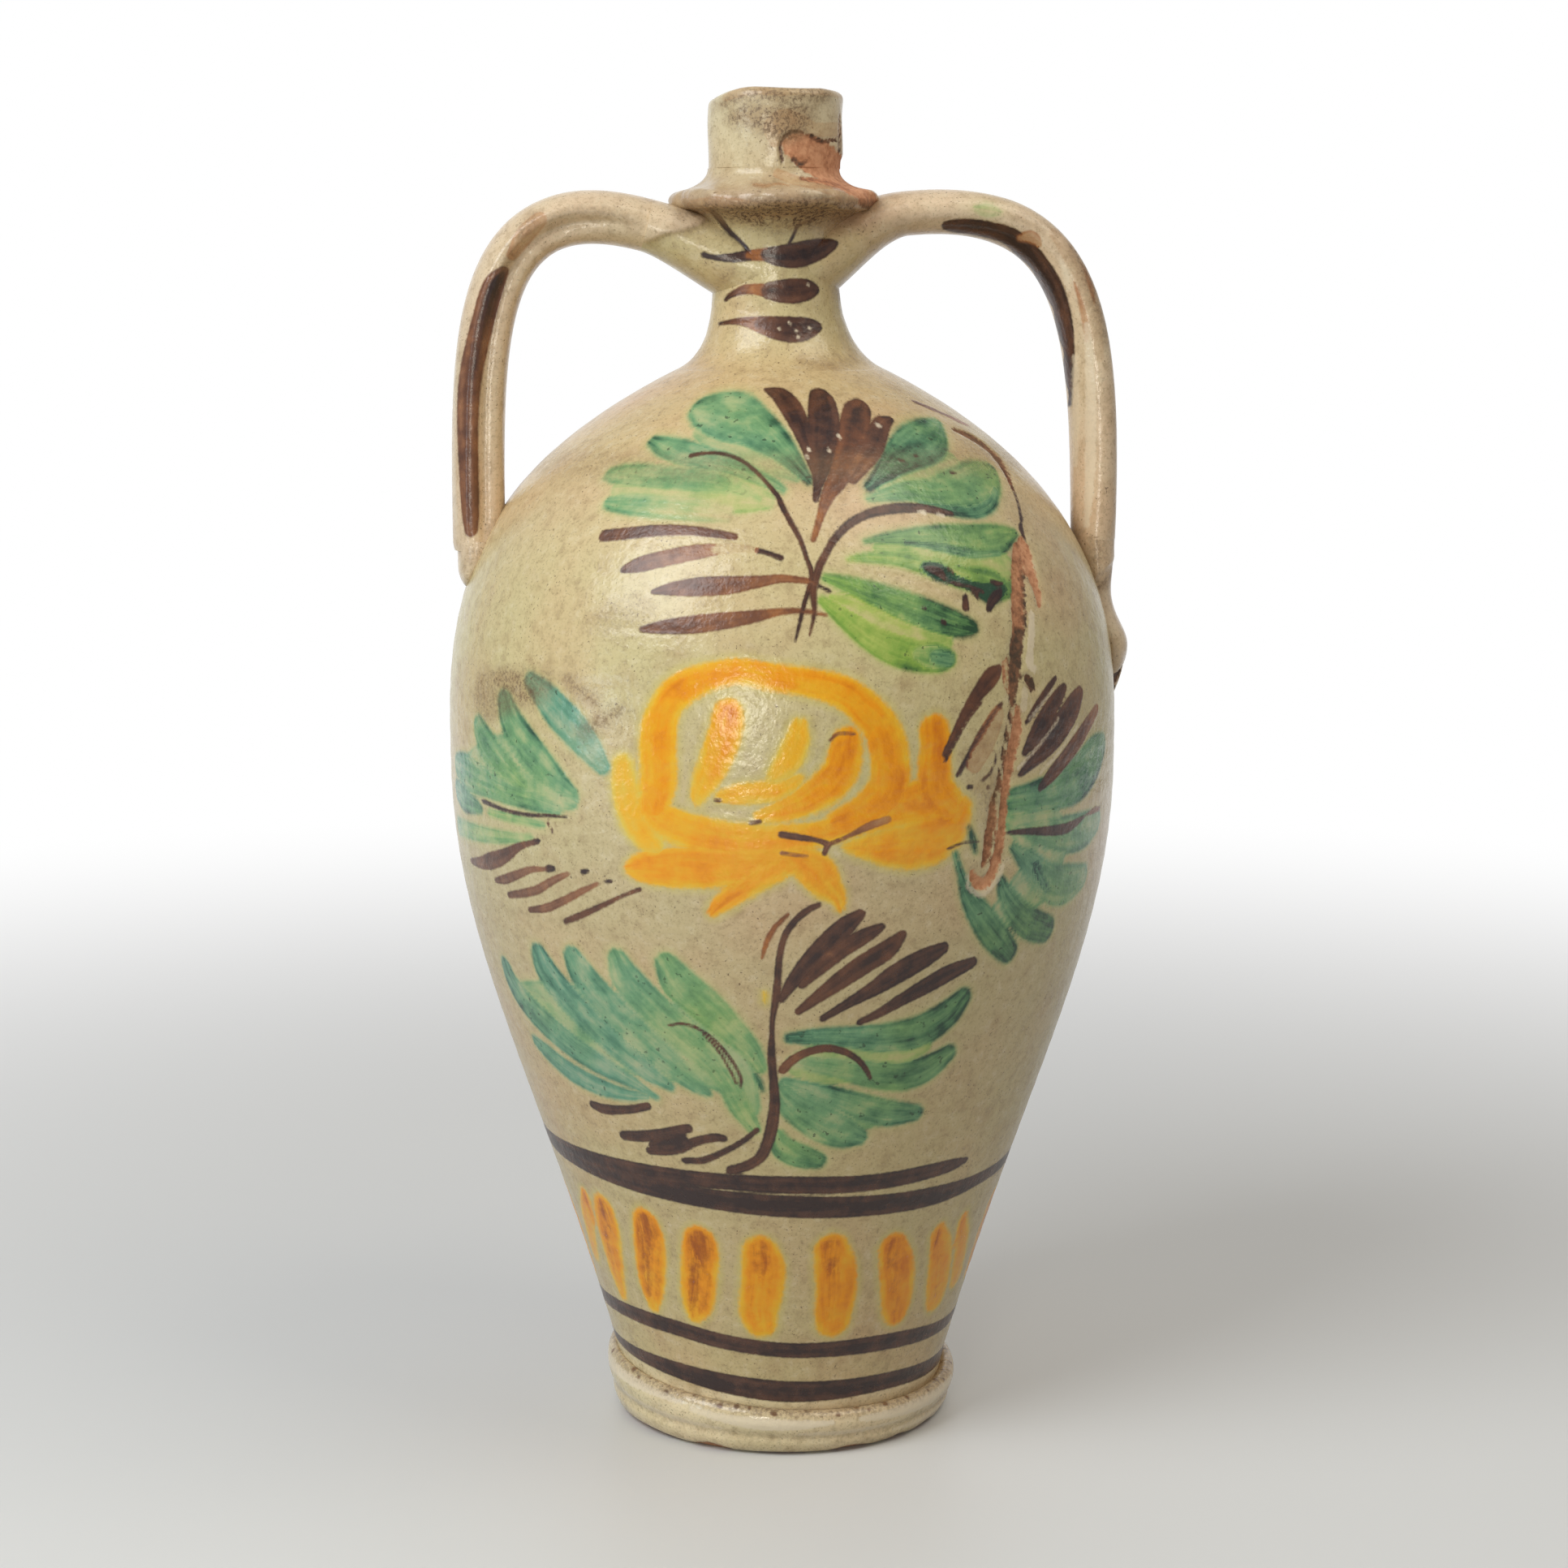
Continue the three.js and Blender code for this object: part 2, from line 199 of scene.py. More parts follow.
upper_body = thrown(
    "painted_upper_body",
    "upper_body",
    np.vstack((evenly(upper_outline, UPPER_CELL), (EYE_RADIUS, shoulder_height), upper_inside[::-1])),
    BODY_STEPS,
    closed=True,
)

# Each stroke: how heavily the brush is loaded at its start and its end, the pigment's hue, then the line
# that it follows, as degrees round from the front, height and width of the stroke
green_strokes = [
    # Thin washes that run together under the leaves
    (0.22, 0.22, 0.45, ((-37, 287.5, 6), (-28, 288.5, 13), (-18, 288, 14), (-9, 286.5, 10), (-3, 285, 5))),
    (0.24, 0.24, 0.55, ((-22, 304, 8), (-13, 301, 13), (-4, 296.5, 11), (3, 292, 5))),
    (0.28, 0.28, 0.05, ((18, 272.5, 3), (26, 271.5, 7), (34, 269, 11), (42, 266, 12), (46, 265, 6))),
    (0.26, 0.26, 0, ((9, 259, 4), (14, 255.5, 9), (20, 251, 11), (27, 247.5, 8))),
    (0.22, 0.22, 0.3, ((22, 288, 4), (30, 291, 9), (38, 292, 9), (46, 294, 6))),
    (0.3, 0.3, 0.75, ((-67, 204, 8), (-57, 207, 17), (-48, 209, 20), (-41, 206, 15), (-36, 203, 7))),
    (0.34, 0.34, 0.65, ((41, 196, 8), (46, 193, 17), (50, 186, 19), (48, 178, 18), (43, 172, 14),
        (38.5, 167, 8))),
    (0.34, 0.34, 0.7, ((-57, 140, 8), (-47, 138, 18), (-37, 136, 24), (-27, 134.5, 26), (-17, 133, 24),
        (-10, 126, 15), (-6.5, 115, 7))),
    (0.3, 0.3, 0.35, ((27, 132, 6), (18, 130.5, 14), (10, 129.5, 15), (4, 128.5, 9))),
    (0.45, 0.45, 0.6, ((22, 112, 7), (13, 113, 14), (5, 117, 12))),
    # Upper spray, left
    (0.52, 0.71, 0.68, ((-28, 309, 7.2), (-22, 308, 11.4), (-15, 306.5, 13.2), (-9, 304.5, 11.4),
        (-3, 301, 9.6), (1, 297.5, 7.2), (4, 293.5, 4.8), (6, 290.5, 3))),
    (0.57, 0.47, 0.63, ((-36.5, 300, 3), (-32, 298.8, 5.4), (-26, 297.3, 6.6), (-20, 296, 6.6),
        (-13, 294.5, 6), (-6, 291.5, 4.8), (-2, 289.5, 3.6), (0.5, 287.8, 1.8))),
    (0.47, 0.33, 0.58, ((-42.5, 291, 3.6), (-38, 291, 6), (-30, 290.8, 6.6), (-22, 290.3, 6.6),
        (-14, 289.5, 6), (-8, 287.5, 4.2), (-4.5, 285.3, 1.8))),
    (0.52, 0.09, 0.63, ((-38, 283.5, 3.6), (-34, 283.5, 5.8), (-26, 283, 6.6), (-18, 282.5, 6.6),
        (-11, 281.5, 4.8))),
    # Upper spray, right
    (0.95, 0.62, 0.55, ((19.3, 288.3, 3), (23, 291, 5), (28, 294.5, 8), (34, 297, 10), (40, 299, 11),
        (46, 301, 9), (51, 303, 5.5), (56, 304.5, 2))),
    (0.55, 0.6, 0.35, ((18.5, 285.3, 2), (24, 286.5, 4.5), (30, 286.8, 6.5), (36, 285.8, 9.5),
        (42, 286, 12.5), (48, 287.4, 12.5), (54, 289.5, 9), (59, 291.5, 3.5))),
    (0.8, 0.7, 0.55, ((30, 283.4, 2.4), (37, 281.4, 3.6), (43, 280.6, 4), (49, 282.4, 3.6),
        (54, 286, 2.4))),
    (0.62, 0.62, 0.2, ((15.8, 274.2, 1.4), (20, 274.8, 3.2), (26, 274.8, 5.4), (32, 274.3, 7.6),
        (38, 273, 9.6), (44, 273, 9), (48, 273.8, 6), (51.5, 274.3, 2.4))),
    (0.85, 0.6, 0.4, ((24, 273.6, 2), (31, 271.8, 3), (38, 269.6, 3), (44, 269.4, 2.4))),
    (0.42, 0.6, 0.05, ((12.2, 269.8, 1.4), (16, 270, 3.1), (22, 269.3, 4.7), (28, 266.8, 6.4),
        (34, 264, 7.4), (40, 261.5, 9), (43, 260, 6))),
    (1.6, 1.6, 0.5, ((26.4, 267.2, 2.6), (29, 265.4, 5.4), (32, 263.4, 3.2), (35.4, 261, 3.4),
        (39, 258.8, 6), (41.6, 259.8, 3.8))),
    (0.52, 0.92, 0.3, ((7.8, 264.8, 2.7), (12, 262.8, 5), (17, 259.8, 7.2), (22, 256.5, 8.6),
        (27, 253.5, 8.6), (31, 251.3, 7.2), (33.5, 250.3, 4.6))),
    (0.42, 0.55, 0, ((7, 259, 2.7), (10, 255, 5.1), (14, 249.8, 7), (18, 246, 8.6), (22, 244, 9),
        (26, 243, 8.6), (28, 242.5, 6))),
    (0.5, 0.66, 0.25, ((23, 243.9, 5), (25.4, 243.2, 7.4), (28, 242.5, 5.8))),
    (0.66, 0.8, 0.55, ((25.8, 243.1, 4.6), (28, 242.4, 5.2))),
    # Left spray
    (0.64, 0.3, 0.85, ((-45, 234.5, 5.2), (-42, 231.5, 8), (-38.5, 227, 10.3), (-35, 222.5, 10.3),
        (-32, 218, 8.6), (-29.5, 213, 5.2))),
    (0.64, 0.51, 0.7, ((-51.5, 227.5, 7.5), (-49.5, 222, 10.3), (-46, 216.5, 11.5), (-42, 211.5, 10.3),
        (-38, 207, 6.9), (-35, 204.3, 3.4))),
    (0.59, 0.59, 0.65, ((-60, 218.5, 7.5), (-57.5, 214.5, 10.3), (-53.5, 210.5, 10.3), (-49.5, 207, 8),
        (-46.5, 204.5, 4.6))),
    (0.59, 0.51, 0.8, ((-72.5, 204.5, 6.9), (-66, 204, 11.5), (-58, 203, 9.2), (-50, 201.5, 6.9),
        (-43, 200.5, 5.8), (-38.5, 199.5, 4))),
    (0.64, 0.64, 0.9, ((-73, 197, 6.9), (-68, 195.5, 8), (-62, 195, 4.6), (-60, 194.3, 2.3))),
    (0.34, 0.38, 0.7, ((-57, 194.5, 2.5), (-50, 194.6, 3), (-42, 194.3, 2.3))),
    (0.46, 0.28, 0.75, ((-75, 185.5, 5.8), (-62, 187, 5.2), (-50, 188.8, 3.4), (-45, 190, 2.3))),
    # Right spray
    (0.7, 0.65, 0.7, ((41, 201.5, 7.5), (46, 201.5, 10), (52, 202.3, 12), (58, 204, 14.5), (64, 208, 14.5),
        (69, 211, 8))),
    (0.6, 0.5, 0.65, ((42, 193, 3.5), (48, 190.5, 8.5), (55, 188.5, 11.5), (62, 188, 11.5),
        (67.5, 189, 8))),
    (0.75, 0.48, 0.7, ((41, 188, 3), (44.5, 183.5, 7), (48.5, 178.5, 10.6), (53, 174.5, 12.6),
        (58, 173, 12.4), (63.5, 173.5, 8.6))),
    (1, 0.9, 0.8, ((46.5, 182, 2.4), (48.6, 177.5, 4), (51, 173.5, 3.4))),
    (0.72, 0.76, 0.6, ((38.8, 179, 3), (40.5, 174, 6.6), (44, 168, 9.2), (48.5, 163.5, 9.8),
        (53, 161, 8.6))),
    (0.68, 0.8, 0.6, ((29, 188.5, 1.8), (30.5, 182, 3), (32.5, 175, 6), (36, 168, 8.8), (39.5, 162, 9.4),
        (43, 157, 7.6))),
    (0.9, 0.8, 0.6, ((31.5, 195.5, 1.5), (32.3, 192, 2.6), (33, 188.5, 1.8))),
    # Lower spray, left
    (0.65, 0.52, 0.87, ((-61.5, 146.5, 7.2), (-60.5, 142, 9.6), (-57, 137.5, 10.8), (-51, 132.5, 10.8),
        (-44, 127.5, 9.6), (-37, 123.5, 7.8), (-31, 120, 4.8), (-25.5, 115.8, 1.9))),
    (0.65, 0.52, 0.87, ((-47.5, 154.5, 7.8), (-46.5, 150, 10.8), (-43.5, 144.5, 11.4), (-39, 138.5, 10.8),
        (-33, 131, 9.6), (-27, 124.5, 7.2), (-22, 119.8, 3))),
    (0.56, 0.48, 0.77, ((-38.5, 156, 7.8), (-37, 151, 10.8), (-33.5, 144.5, 11.4), (-28.5, 137, 10.8),
        (-22.5, 129, 9.6), (-17.5, 122.5, 6.6), (-14.5, 119, 3))),
    (0.52, 0.43, 0.62, ((-28.8, 157.5, 7.2), (-27.5, 152, 10.8), (-24, 145.5, 11.4), (-19, 138, 10.8),
        (-14, 130.5, 9), (-10.5, 123, 7.2), (-8, 115, 7.2), (-5.5, 108.5, 4.2))),
    (0.52, 0.43, 0.47, ((-19.5, 157.5, 7.8), (-17.5, 152, 11.4), (-13.5, 146, 11.4), (-9.5, 139.5, 9.6),
        (-6, 133.5, 7.2), (-4, 128, 4.8))),
    (0.6, 0.48, 0.87, ((-58, 125, 4.2), (-54, 122.5, 6.6), (-48, 119, 7.2), (-41, 116.5, 6.6),
        (-34, 115.3, 4.8), (-28, 115.5, 2.4))),
    (0.82, 0.82, 0.67, ((-5, 125.5, 1.7), (-4.2, 123, 2.2), (-3.6, 120.5, 1.4))),
    # Lower spray, right
    (0.8, 0.57, 0.68, ((33.8, 145, 6.9), (31, 140.5, 9.8), (26, 136.5, 10.9), (20, 135.5, 9.8),
        (13, 136.3, 7.5), (7, 137, 5.8), (1.5, 136.8, 3.4))),
    (0.8, 0.8, 0.68, ((5, 137, 3), (1.5, 137, 2.8))),
    (0.8, 0.37, 0.58, ((33, 128, 6.3), (29, 124.5, 9.2), (24, 123, 9.8), (18, 124.3, 9.2), (12, 126.7, 7.5),
        (6, 128.5, 5.8), (2, 129.5, 3.4))),
    (0.77, 0.52, 0.73, ((28, 110.5, 5.8), (22, 111.5, 8.6), (15, 114.5, 9.2), (8, 118.5, 8),
        (1, 122.5, 4.6))),
    (0.67, 0.52, 0.73, ((16, 104.8, 5.8), (12, 107, 10.9), (7, 111, 11.5), (2, 116.5, 9.2),
        (-0.5, 121, 4.6))),
    (0.72, 0.52, 0.68, ((7.5, 98, 5.8), (4, 99.5, 8), (0.5, 102, 7.5), (-0.8, 106, 4.6))),
]

brown_strokes = [
    # Upper spray: the fan, its two stems and the bars at the left
    (0.9, 0.85, 0.8, ((-6.8, 314, 0.8), (-3, 313.2, 2.9), (0.5, 311.7, 5), (3.5, 308.8, 6.2),
        (5.5, 304.5, 5.6), (7, 299, 4.4), (8, 293, 3.1))),
    (0.9, 0.9, 0.75, ((15.2, 310.6, 7.5), (13.5, 306.5, 8.8), (11, 300, 8.1), (9.3, 294, 5.6),
        (8, 289, 2.8), (7.2, 285.5, 2))),
    (0.9, 0.5, 0.35, ((29, 309.3, 4.4), (25, 307, 6.9), (21, 302.5, 8.1), (17, 297, 7.5), (13, 291, 5.6),
        (10, 286.5, 3.8), (8, 281.5, 2.2), (6, 275, 1.5))),
    (0.9, 0.65, 0.6, ((36.3, 305.8, 1.5), (32, 304.7, 3.8), (28, 302, 5), (24, 298.5, 5.6), (20, 295, 5),
        (16, 291, 3.8))),
    (0.95, 0.9, 0.6, ((-23, 296.4, 1.2), (-20, 297, 0.9), (-16, 297.2, 0.9), (-12, 296.3, 0.9),
        (-8, 294.3, 0.9), (-4, 290.5, 1), (-1, 286.5, 1.3), (0, 284, 1.6), (2, 279, 1.5), (3.5, 275, 1.4),
        (4.6, 270, 1.3), (5.3, 265.5, 1.4), (4, 259, 1.2), (3, 253, 1), (2.3, 248.5, 0.6))),
    (0.8, 0.95, 0.65, ((4.6, 250, 0.6), (5.5, 256, 1.2), (5.5, 262, 2), (6.5, 267, 2.2), (8, 271, 2),
        (10, 275, 2), (13, 278.5, 2.1), (16.5, 280.8, 2.2), (20, 282, 2.4), (25, 282.6, 2.6),
        (30, 282.3, 2.3), (34, 281.3, 2), (36.5, 280.5, 1.4))),
    (1, 1, 0.9, ((6.3, 263, 1), (8.2, 261.5, 1.1))),
    (0.8, 0.65, 0.75, ((-35.5, 274.8, 3.2), (-30, 275.8, 3.2), (-24, 276.8, 3), (-18, 277, 2.6),
        (-13, 276.4, 2.2), (-8.8, 275.6, 1.8))),
    (0.85, 0.35, 0.75, ((-29, 266.3, 2), (-26, 267.8, 4.2), (-21, 269.8, 4.4), (-16, 271.4, 4),
        (-12, 272.2, 3))),
    (0.12, 0.12, 0.75, ((-12, 272.2, 3), (-8, 272.6, 2), (-4.5, 272.2, 1.4))),
    (1, 1, 0.9, ((-4.5, 272.2, 1.4), (-2.5, 271.5, 1.3), (0, 270.2, 1.5))),
    (0.8, 0.55, 0.55, ((-22.5, 260.8, 1.2), (-19, 261.8, 3.6), (-14, 262.5, 5), (-9, 263, 4.8),
        (-4, 264, 3.2), (0, 264.8, 2.2), (4, 264.3, 1.6), (6, 263.5, 1.3))),
    (0.8, 0.45, 0.55, ((-23.5, 250.8, 1.6), (-20, 251.6, 3.6), (-15, 252.5, 4.8), (-10, 253.6, 4.6),
        (-5, 254.8, 3.4), (0, 256.2, 1.8), (4, 256.3, 1.3), (7.5, 255.2, 0.9))),
    # Dark blots on the upper spray
    (1, 0.85, 1, ((26.6, 266.8, 0.8), (27.8, 266.2, 2), (29.2, 265.4, 2.6), (30, 263.8, 1.4))),
    (0.9, 0.9, 1, ((31, 266.6, 0.8), (31.6, 265.8, 1.2), (32, 265, 0.7))),
    (1, 0.9, 1, ((30.6, 263, 0.8), (32.4, 262, 1.2), (34, 261.6, 0.8), (35.6, 260.6, 1.4),
        (37.4, 259.6, 1))),
    (1, 1, 1, ((41.4, 259.4, 1.6), (40, 258, 3), (38.8, 256.8, 2.6), (37.8, 254.8, 2))),
    (0.95, 0.85, 1, ((39.8, 262.2, 1), (41, 261.6, 1.6), (42.4, 261.4, 0.8))),
    (0.85, 0.85, 0.8, ((35.4, 259.8, 1.6), (36, 258, 1.2))),
    (0.95, 0.95, 0.6, ((33.3, 258.6, 1.8), (33, 255.8, 2.4))),
    (0.95, 0.95, 0.9, ((42.5, 291.2, 0.8), (44, 291, 0.8))),
    (0.95, 0.95, 0.9, ((30, 295, 0.7), (31, 294.7, 0.8))),
    (0.95, 0.95, 0.9, ((35, 296, 0.7), (36, 296, 0.7))),
    (0.95, 0.95, 0.9, ((28, 252.6, 1.5), (28.2, 252.2, 1.5))),
    (0.95, 0.95, 0.9, ((24.7, 256.4, 1), (25, 256.2, 1))),
    # Rust that has run down to the scar
    (0.7, 0.4, 0.5, ((56, 310.2, 0.9), (61, 308.2, 1.6), (65, 306.4, 1.2), (69, 304.6, 2),
        (74, 302.8, 0.8))),
    (0.85, 0.9, 0.6, ((65.4, 291, 1.6), (62.5, 287.6, 1.4), (60, 284, 1.1), (57.6, 280, 1.1),
        (56, 277.4, 1.5))),
    (0.85, 0.85, 0.8, ((54.6, 276, 1.6), (53.8, 274.6, 1.8), (53.4, 271.6, 1))),
    # Flecks of ash that fell on the back in the kiln
    (0.8, 0.8, 0.7, ((118, 262, 0.8), (118.6, 261.6, 0.9))),
    (0.7, 0.7, 0.7, ((141, 199, 0.9), (141.8, 198.8, 1))),
    (0.8, 0.8, 0.7, ((-164, 228, 0.7), (-163.4, 228.4, 0.8))),
    (0.7, 0.7, 0.7, ((-132, 150, 0.8), (-131.4, 149.6, 0.9))),
    (0.75, 0.75, 0.7, ((172, 256, 0.7), (172.6, 256, 0.8))),
    # Marks across the flower
    (0.75, 0.75, 0.85, ((-4.8, 199.3, 1.2), (-3.4, 199.7, 1.2))),
    (0.75, 0.75, 0.85, ((-10.3, 205.4, 1), (-9.6, 205.3, 1))),
    (0.8, 0.7, 0.85, ((0, 196.2, 1.8), (3, 195.3, 1.8), (5.5, 194.5, 1.3), (7.2, 193.2, 1.6),
        (6.8, 190.8, 1.4))),
    (0.65, 0.3, 0.6, ((7.5, 193.2, 1.2), (10.5, 195.3, 1), (14, 198, 2.2), (17, 199.5, 2))),
    (0.45, 0.25, 0.5, ((0, 191, 1), (4, 190, 1))),
    (0.7, 0.5, 0.5, ((7.6, 221.8, 0.8), (9, 223.6, 0.9), (11.5, 223.4, 0.8))),
    # Left spray
    (0.95, 0.95, 0.9, ((-59.5, 197.3, 1.4), (-52, 196.5, 1.2), (-46, 196.4, 1.1), (-41, 197.2, 1),
        (-36.5, 197.7, 0.7))),
    (0.7, 0.75, 0.9, ((-41, 195.5, 0.9), (-39.8, 192.8, 1))),
    (0.65, 0.85, 0.75, ((-68.5, 177, 1.6), (-63, 178, 3.6), (-58, 180, 5), (-53, 182.8, 4.2),
        (-48.5, 186.5, 2.4), (-44.5, 188.8, 1.4))),
    (1, 1, 0.95, ((-44.3, 188.9, 1.8), (-43.2, 189.5, 1.6))),
    (0.75, 0.45, 0.95, ((-57.5, 174.3, 1.6), (-54, 175.6, 2.8), (-50, 178, 2.6), (-46, 180.5, 2),
        (-42.5, 181.5, 1.2))),
    (1, 1, 0.95, ((-41.4, 181.8, 2.2), (-40.4, 182.2, 2))),
    (0.75, 0.35, 0.95, ((-53.5, 171, 2), (-49.5, 172.6, 2.4), (-45, 174.8, 2.6), (-41, 178.3, 2.2),
        (-37, 181.4, 1.3))),
    (1, 1, 0.95, ((-34, 182.4, 1.6), (-33, 182.9, 1.4))),
    (0.75, 0.35, 0.85, ((-47.8, 168.2, 1.6), (-43.5, 169.8, 2.4), (-39.5, 172.5, 2.4), (-35, 176.3, 2),
        (-31, 179.7, 1))),
    (0.95, 0.95, 0.9, ((-29.5, 180.4, 1), (-28.4, 180.8, 1))),
    (0.85, 0.75, 0.65, ((-39.2, 166.8, 1.6), (-35.5, 169.4, 2), (-31, 173, 1.6), (-27.5, 176, 1.1),
        (-26, 177.3, 1), (-23.3, 179.2, 1.2))),
    # Right spray
    (0.9, 0.75, 0.6, ((26.8, 216.5, 1.8), (28.5, 221.5, 2.2), (30.5, 227, 2.8), (33, 231.8, 4),
        (36, 236.3, 5.4), (38, 238.4, 3))),
    (0.22, 0.18, 0.6, ((32.5, 213, 5), (34.5, 219, 7), (37, 226, 5))),
    (0.85, 0.7, 0.9, ((26.8, 214.4, 0.9), (28.8, 219.8, 1), (31.2, 225.6, 1), (33.8, 230, 1.2))),
    (0.95, 0.8, 0.9, ((29.3, 210.5, 1.6), (31.5, 216.5, 1.5), (33.5, 221, 2.2), (36, 226, 2),
        (38, 229, 1.4))),
    (0.95, 0.8, 0.9, ((34, 208.2, 1.1), (35.5, 210, 1), (36.5, 213, 0.9), (37, 216, 0.8))),
    (0.9, 0.9, 0.9, ((31.2, 206.9, 1.3), (31.8, 206.7, 1.3))),
    (0.8, 0.8, 0.9, ((35.1, 206.2, 1.2), (35.4, 205.8, 1.2))),
    (0.9, 0.85, 0.8, ((43.6, 223, 1.6), (46, 227, 2.4), (49, 231, 2.4), (51.5, 234, 1.8))),
    (0.9, 0.8, 0.7, ((43, 214.5, 2.2), (46, 219.6, 5.8), (49, 224.6, 6.2), (52, 228.6, 5), (54, 231, 2.8))),
    (1, 0.72, 0.55, ((42, 208.5, 1.8), (45, 212, 4.6), (48.5, 215.5, 7), (52.5, 220, 8.6), (56.5, 225, 8),
        (59, 228.3, 4.6))),
    (1, 0.45, 0.65, ((47, 203.8, 2.2), (50, 207, 4.4), (54, 211, 5.2), (58, 215, 5.4), (62, 219, 4.8),
        (66, 222.5, 3.2))),
    (0.95, 0.8, 0.95, ((39.5, 192.5, 1.2), (44, 192, 1.8), (50, 190.8, 2.8), (55, 190.3, 3.2),
        (58.5, 191.2, 2.2), (61, 192, 1.2))),
    (0.55, 0.45, 0.85, ((62.5, 192.4, 1), (66, 192.8, 1.8), (69, 192.4, 1.4))),
    (0.85, 0.85, 0.9, ((27.5, 190, 0.8), (30.5, 191.3, 0.7), (33.5, 191.2, 0.7))),
    # Lower spray: stem, fan, curls and dashes
    (0.85, 0.95, 0.7, ((6, 176.3, 1.6), (4, 174.5, 1.9), (2, 171.3, 1.9), (0.5, 167, 1.8), (-0.3, 161, 1.8),
        (-0.6, 155, 2), (-0.9, 149, 2.2), (-1.5, 143, 1.6), (-1.7, 137, 1.6), (-1.8, 131, 2.4),
        (-1.5, 124, 2.4), (-1.3, 117, 3), (-1.8, 110, 3.4), (-2.8, 104, 3.4), (-4.5, 99, 3.2),
        (-7.5, 96, 3.2), (-11, 94.3, 3))),
    (0.6, 0.45, 0.15, ((1, 173.5, 1.1), (-1.2, 169.5, 1.4), (-2.6, 164.5, 1.3), (-3.1, 161, 0.7))),
    (0.9, 0.95, 0.8, ((12.8, 173, 3.2), (10.3, 169.5, 5.8), (7.3, 164.5, 6.2), (4.3, 159, 5.2),
        (1.8, 153.5, 3.8), (0, 148.5, 2))),
    (0.9, 0.8, 0.7, ((16.5, 169, 2.5), (13.5, 166.5, 4.8), (10, 163, 5), (6.5, 158, 4.2), (3.5, 153, 2.5))),
    (0.9, 0.85, 0.6, ((20.3, 166.3, 2.8), (18, 162.5, 5.8), (14.5, 159, 6.2), (10.5, 154.5, 5.5),
        (6.5, 149.5, 3.8), (3, 145, 2.2))),
    (0.95, 0.9, 0.8, ((28.2, 161.2, 3.8), (24.5, 158.6, 6.2), (20, 155, 6.5), (15.5, 150.5, 4.5),
        (11, 146.3, 2.8), (7.3, 142.6, 2.1))),
    (1, 0.9, 0.8, ((34.8, 155.6, 3.5), (30.5, 153.6, 5.2), (26, 150.5, 5.2), (21.5, 147, 4),
        (17.5, 143.5, 2.8), (14, 141, 2.1))),
    (0.8, 0.85, 0.85, ((-20.5, 139.3, 0.8), (-17.5, 140, 0.9), (-14.5, 138.5, 1), (-11.5, 134.5, 1),
        (-9, 129, 1), (-7.7, 124.5, 0.9), (-7.8, 121.5, 0.8))),
    (0.75, 0.75, 0.85, ((-14, 137, 0.6), (-11.6, 132.5, 0.8), (-9.8, 127, 0.8), (-8.6, 122.5, 0.8))),
    (0.7, 0.95, 0.6, ((0.3, 127, 2.6), (2, 130, 2.6), (5, 132.6, 2.4), (8.5, 133.4, 2.4), (11.8, 132, 2),
        (14.5, 129, 1.7), (16.3, 125.5, 1.4), (17.2, 123, 1))),
    (1, 0.95, 0.85, ((-43.3, 109.3, 2.8), (-40, 108.8, 3.4), (-35, 109.8, 2.8), (-31, 111.2, 2.6),
        (-28, 112.6, 2.4))),
    (1, 0.95, 0.85, ((-36.3, 101.3, 3), (-31, 102.3, 3.6), (-26, 104, 3.4), (-21.5, 106, 3.2),
        (-19.5, 107, 2.8))),
    (1, 0.95, 0.75, ((-30, 97.8, 2.4), (-26, 98.8, 3.4), (-22, 100.3, 3.4), (-18, 103, 2.8),
        (-14, 104.6, 2.8), (-12, 104.6, 2.2))),
    (1, 1, 0.75, ((-28.6, 99.8, 3.4), (-25, 101.2, 6), (-21.6, 102.6, 5))),
    (1, 0.9, 0.8, ((-21.5, 96.2, 2), (-17, 97, 2.2), (-12.5, 100, 1.9), (-8, 104, 1.7), (-5, 107.8, 1.6))),
    # Bands, drawn while the jug turns: the upper one goes once and a third round
    (0.95, 1, 0.9, ((47, 90.6, 2), (40, 90.2, 4.6), (20, 89.3, 5.4), (0, 90, 5.6), (-20, 90.6, 5),
        (-40, 90.2, 5.4), (-70, 89.2, 5.6), (-110, 88, 5.6), (-150, 86.5, 5.6), (-190, 85, 5.6),
        (-230, 83.5, 5.4), (-270, 82.6, 5), (-300, 82, 4.2), (-320, 81.2, 6.2), (-340, 81.7, 6.8),
        (-360, 83, 7.2), (-380, 84.6, 6.6), (-400, 86, 5.6), (-420, 87.2, 4.6), (-440, 88, 3.6))),
    (0.95, 0.95, 0.9, ((180, 35.5, 5), (150, 35, 5), (110, 32.5, 4.6), (68, 31.4, 4.4), (35, 33.6, 5.6),
        (15, 34, 5.2), (0, 34.4, 5), (-18, 36.2, 5.2), (-36, 38.3, 5.4), (-60, 38.4, 5), (-80, 37.4, 5),
        (-120, 36.5, 5), (-180, 35.5, 5))),
    (0.95, 0.95, 0.9, ((180, 22.6, 4.4), (120, 19.6, 4.6), (74, 17.9, 5), (38, 19.6, 5.8), (18, 19.8, 6.6),
        (0, 20.2, 7.2), (-20, 21.8, 6.8), (-40, 23.4, 5.6), (-60, 24, 4.2), (-80, 24.2, 3.4),
        (-130, 23.8, 4), (-180, 22.6, 4.4))),
]

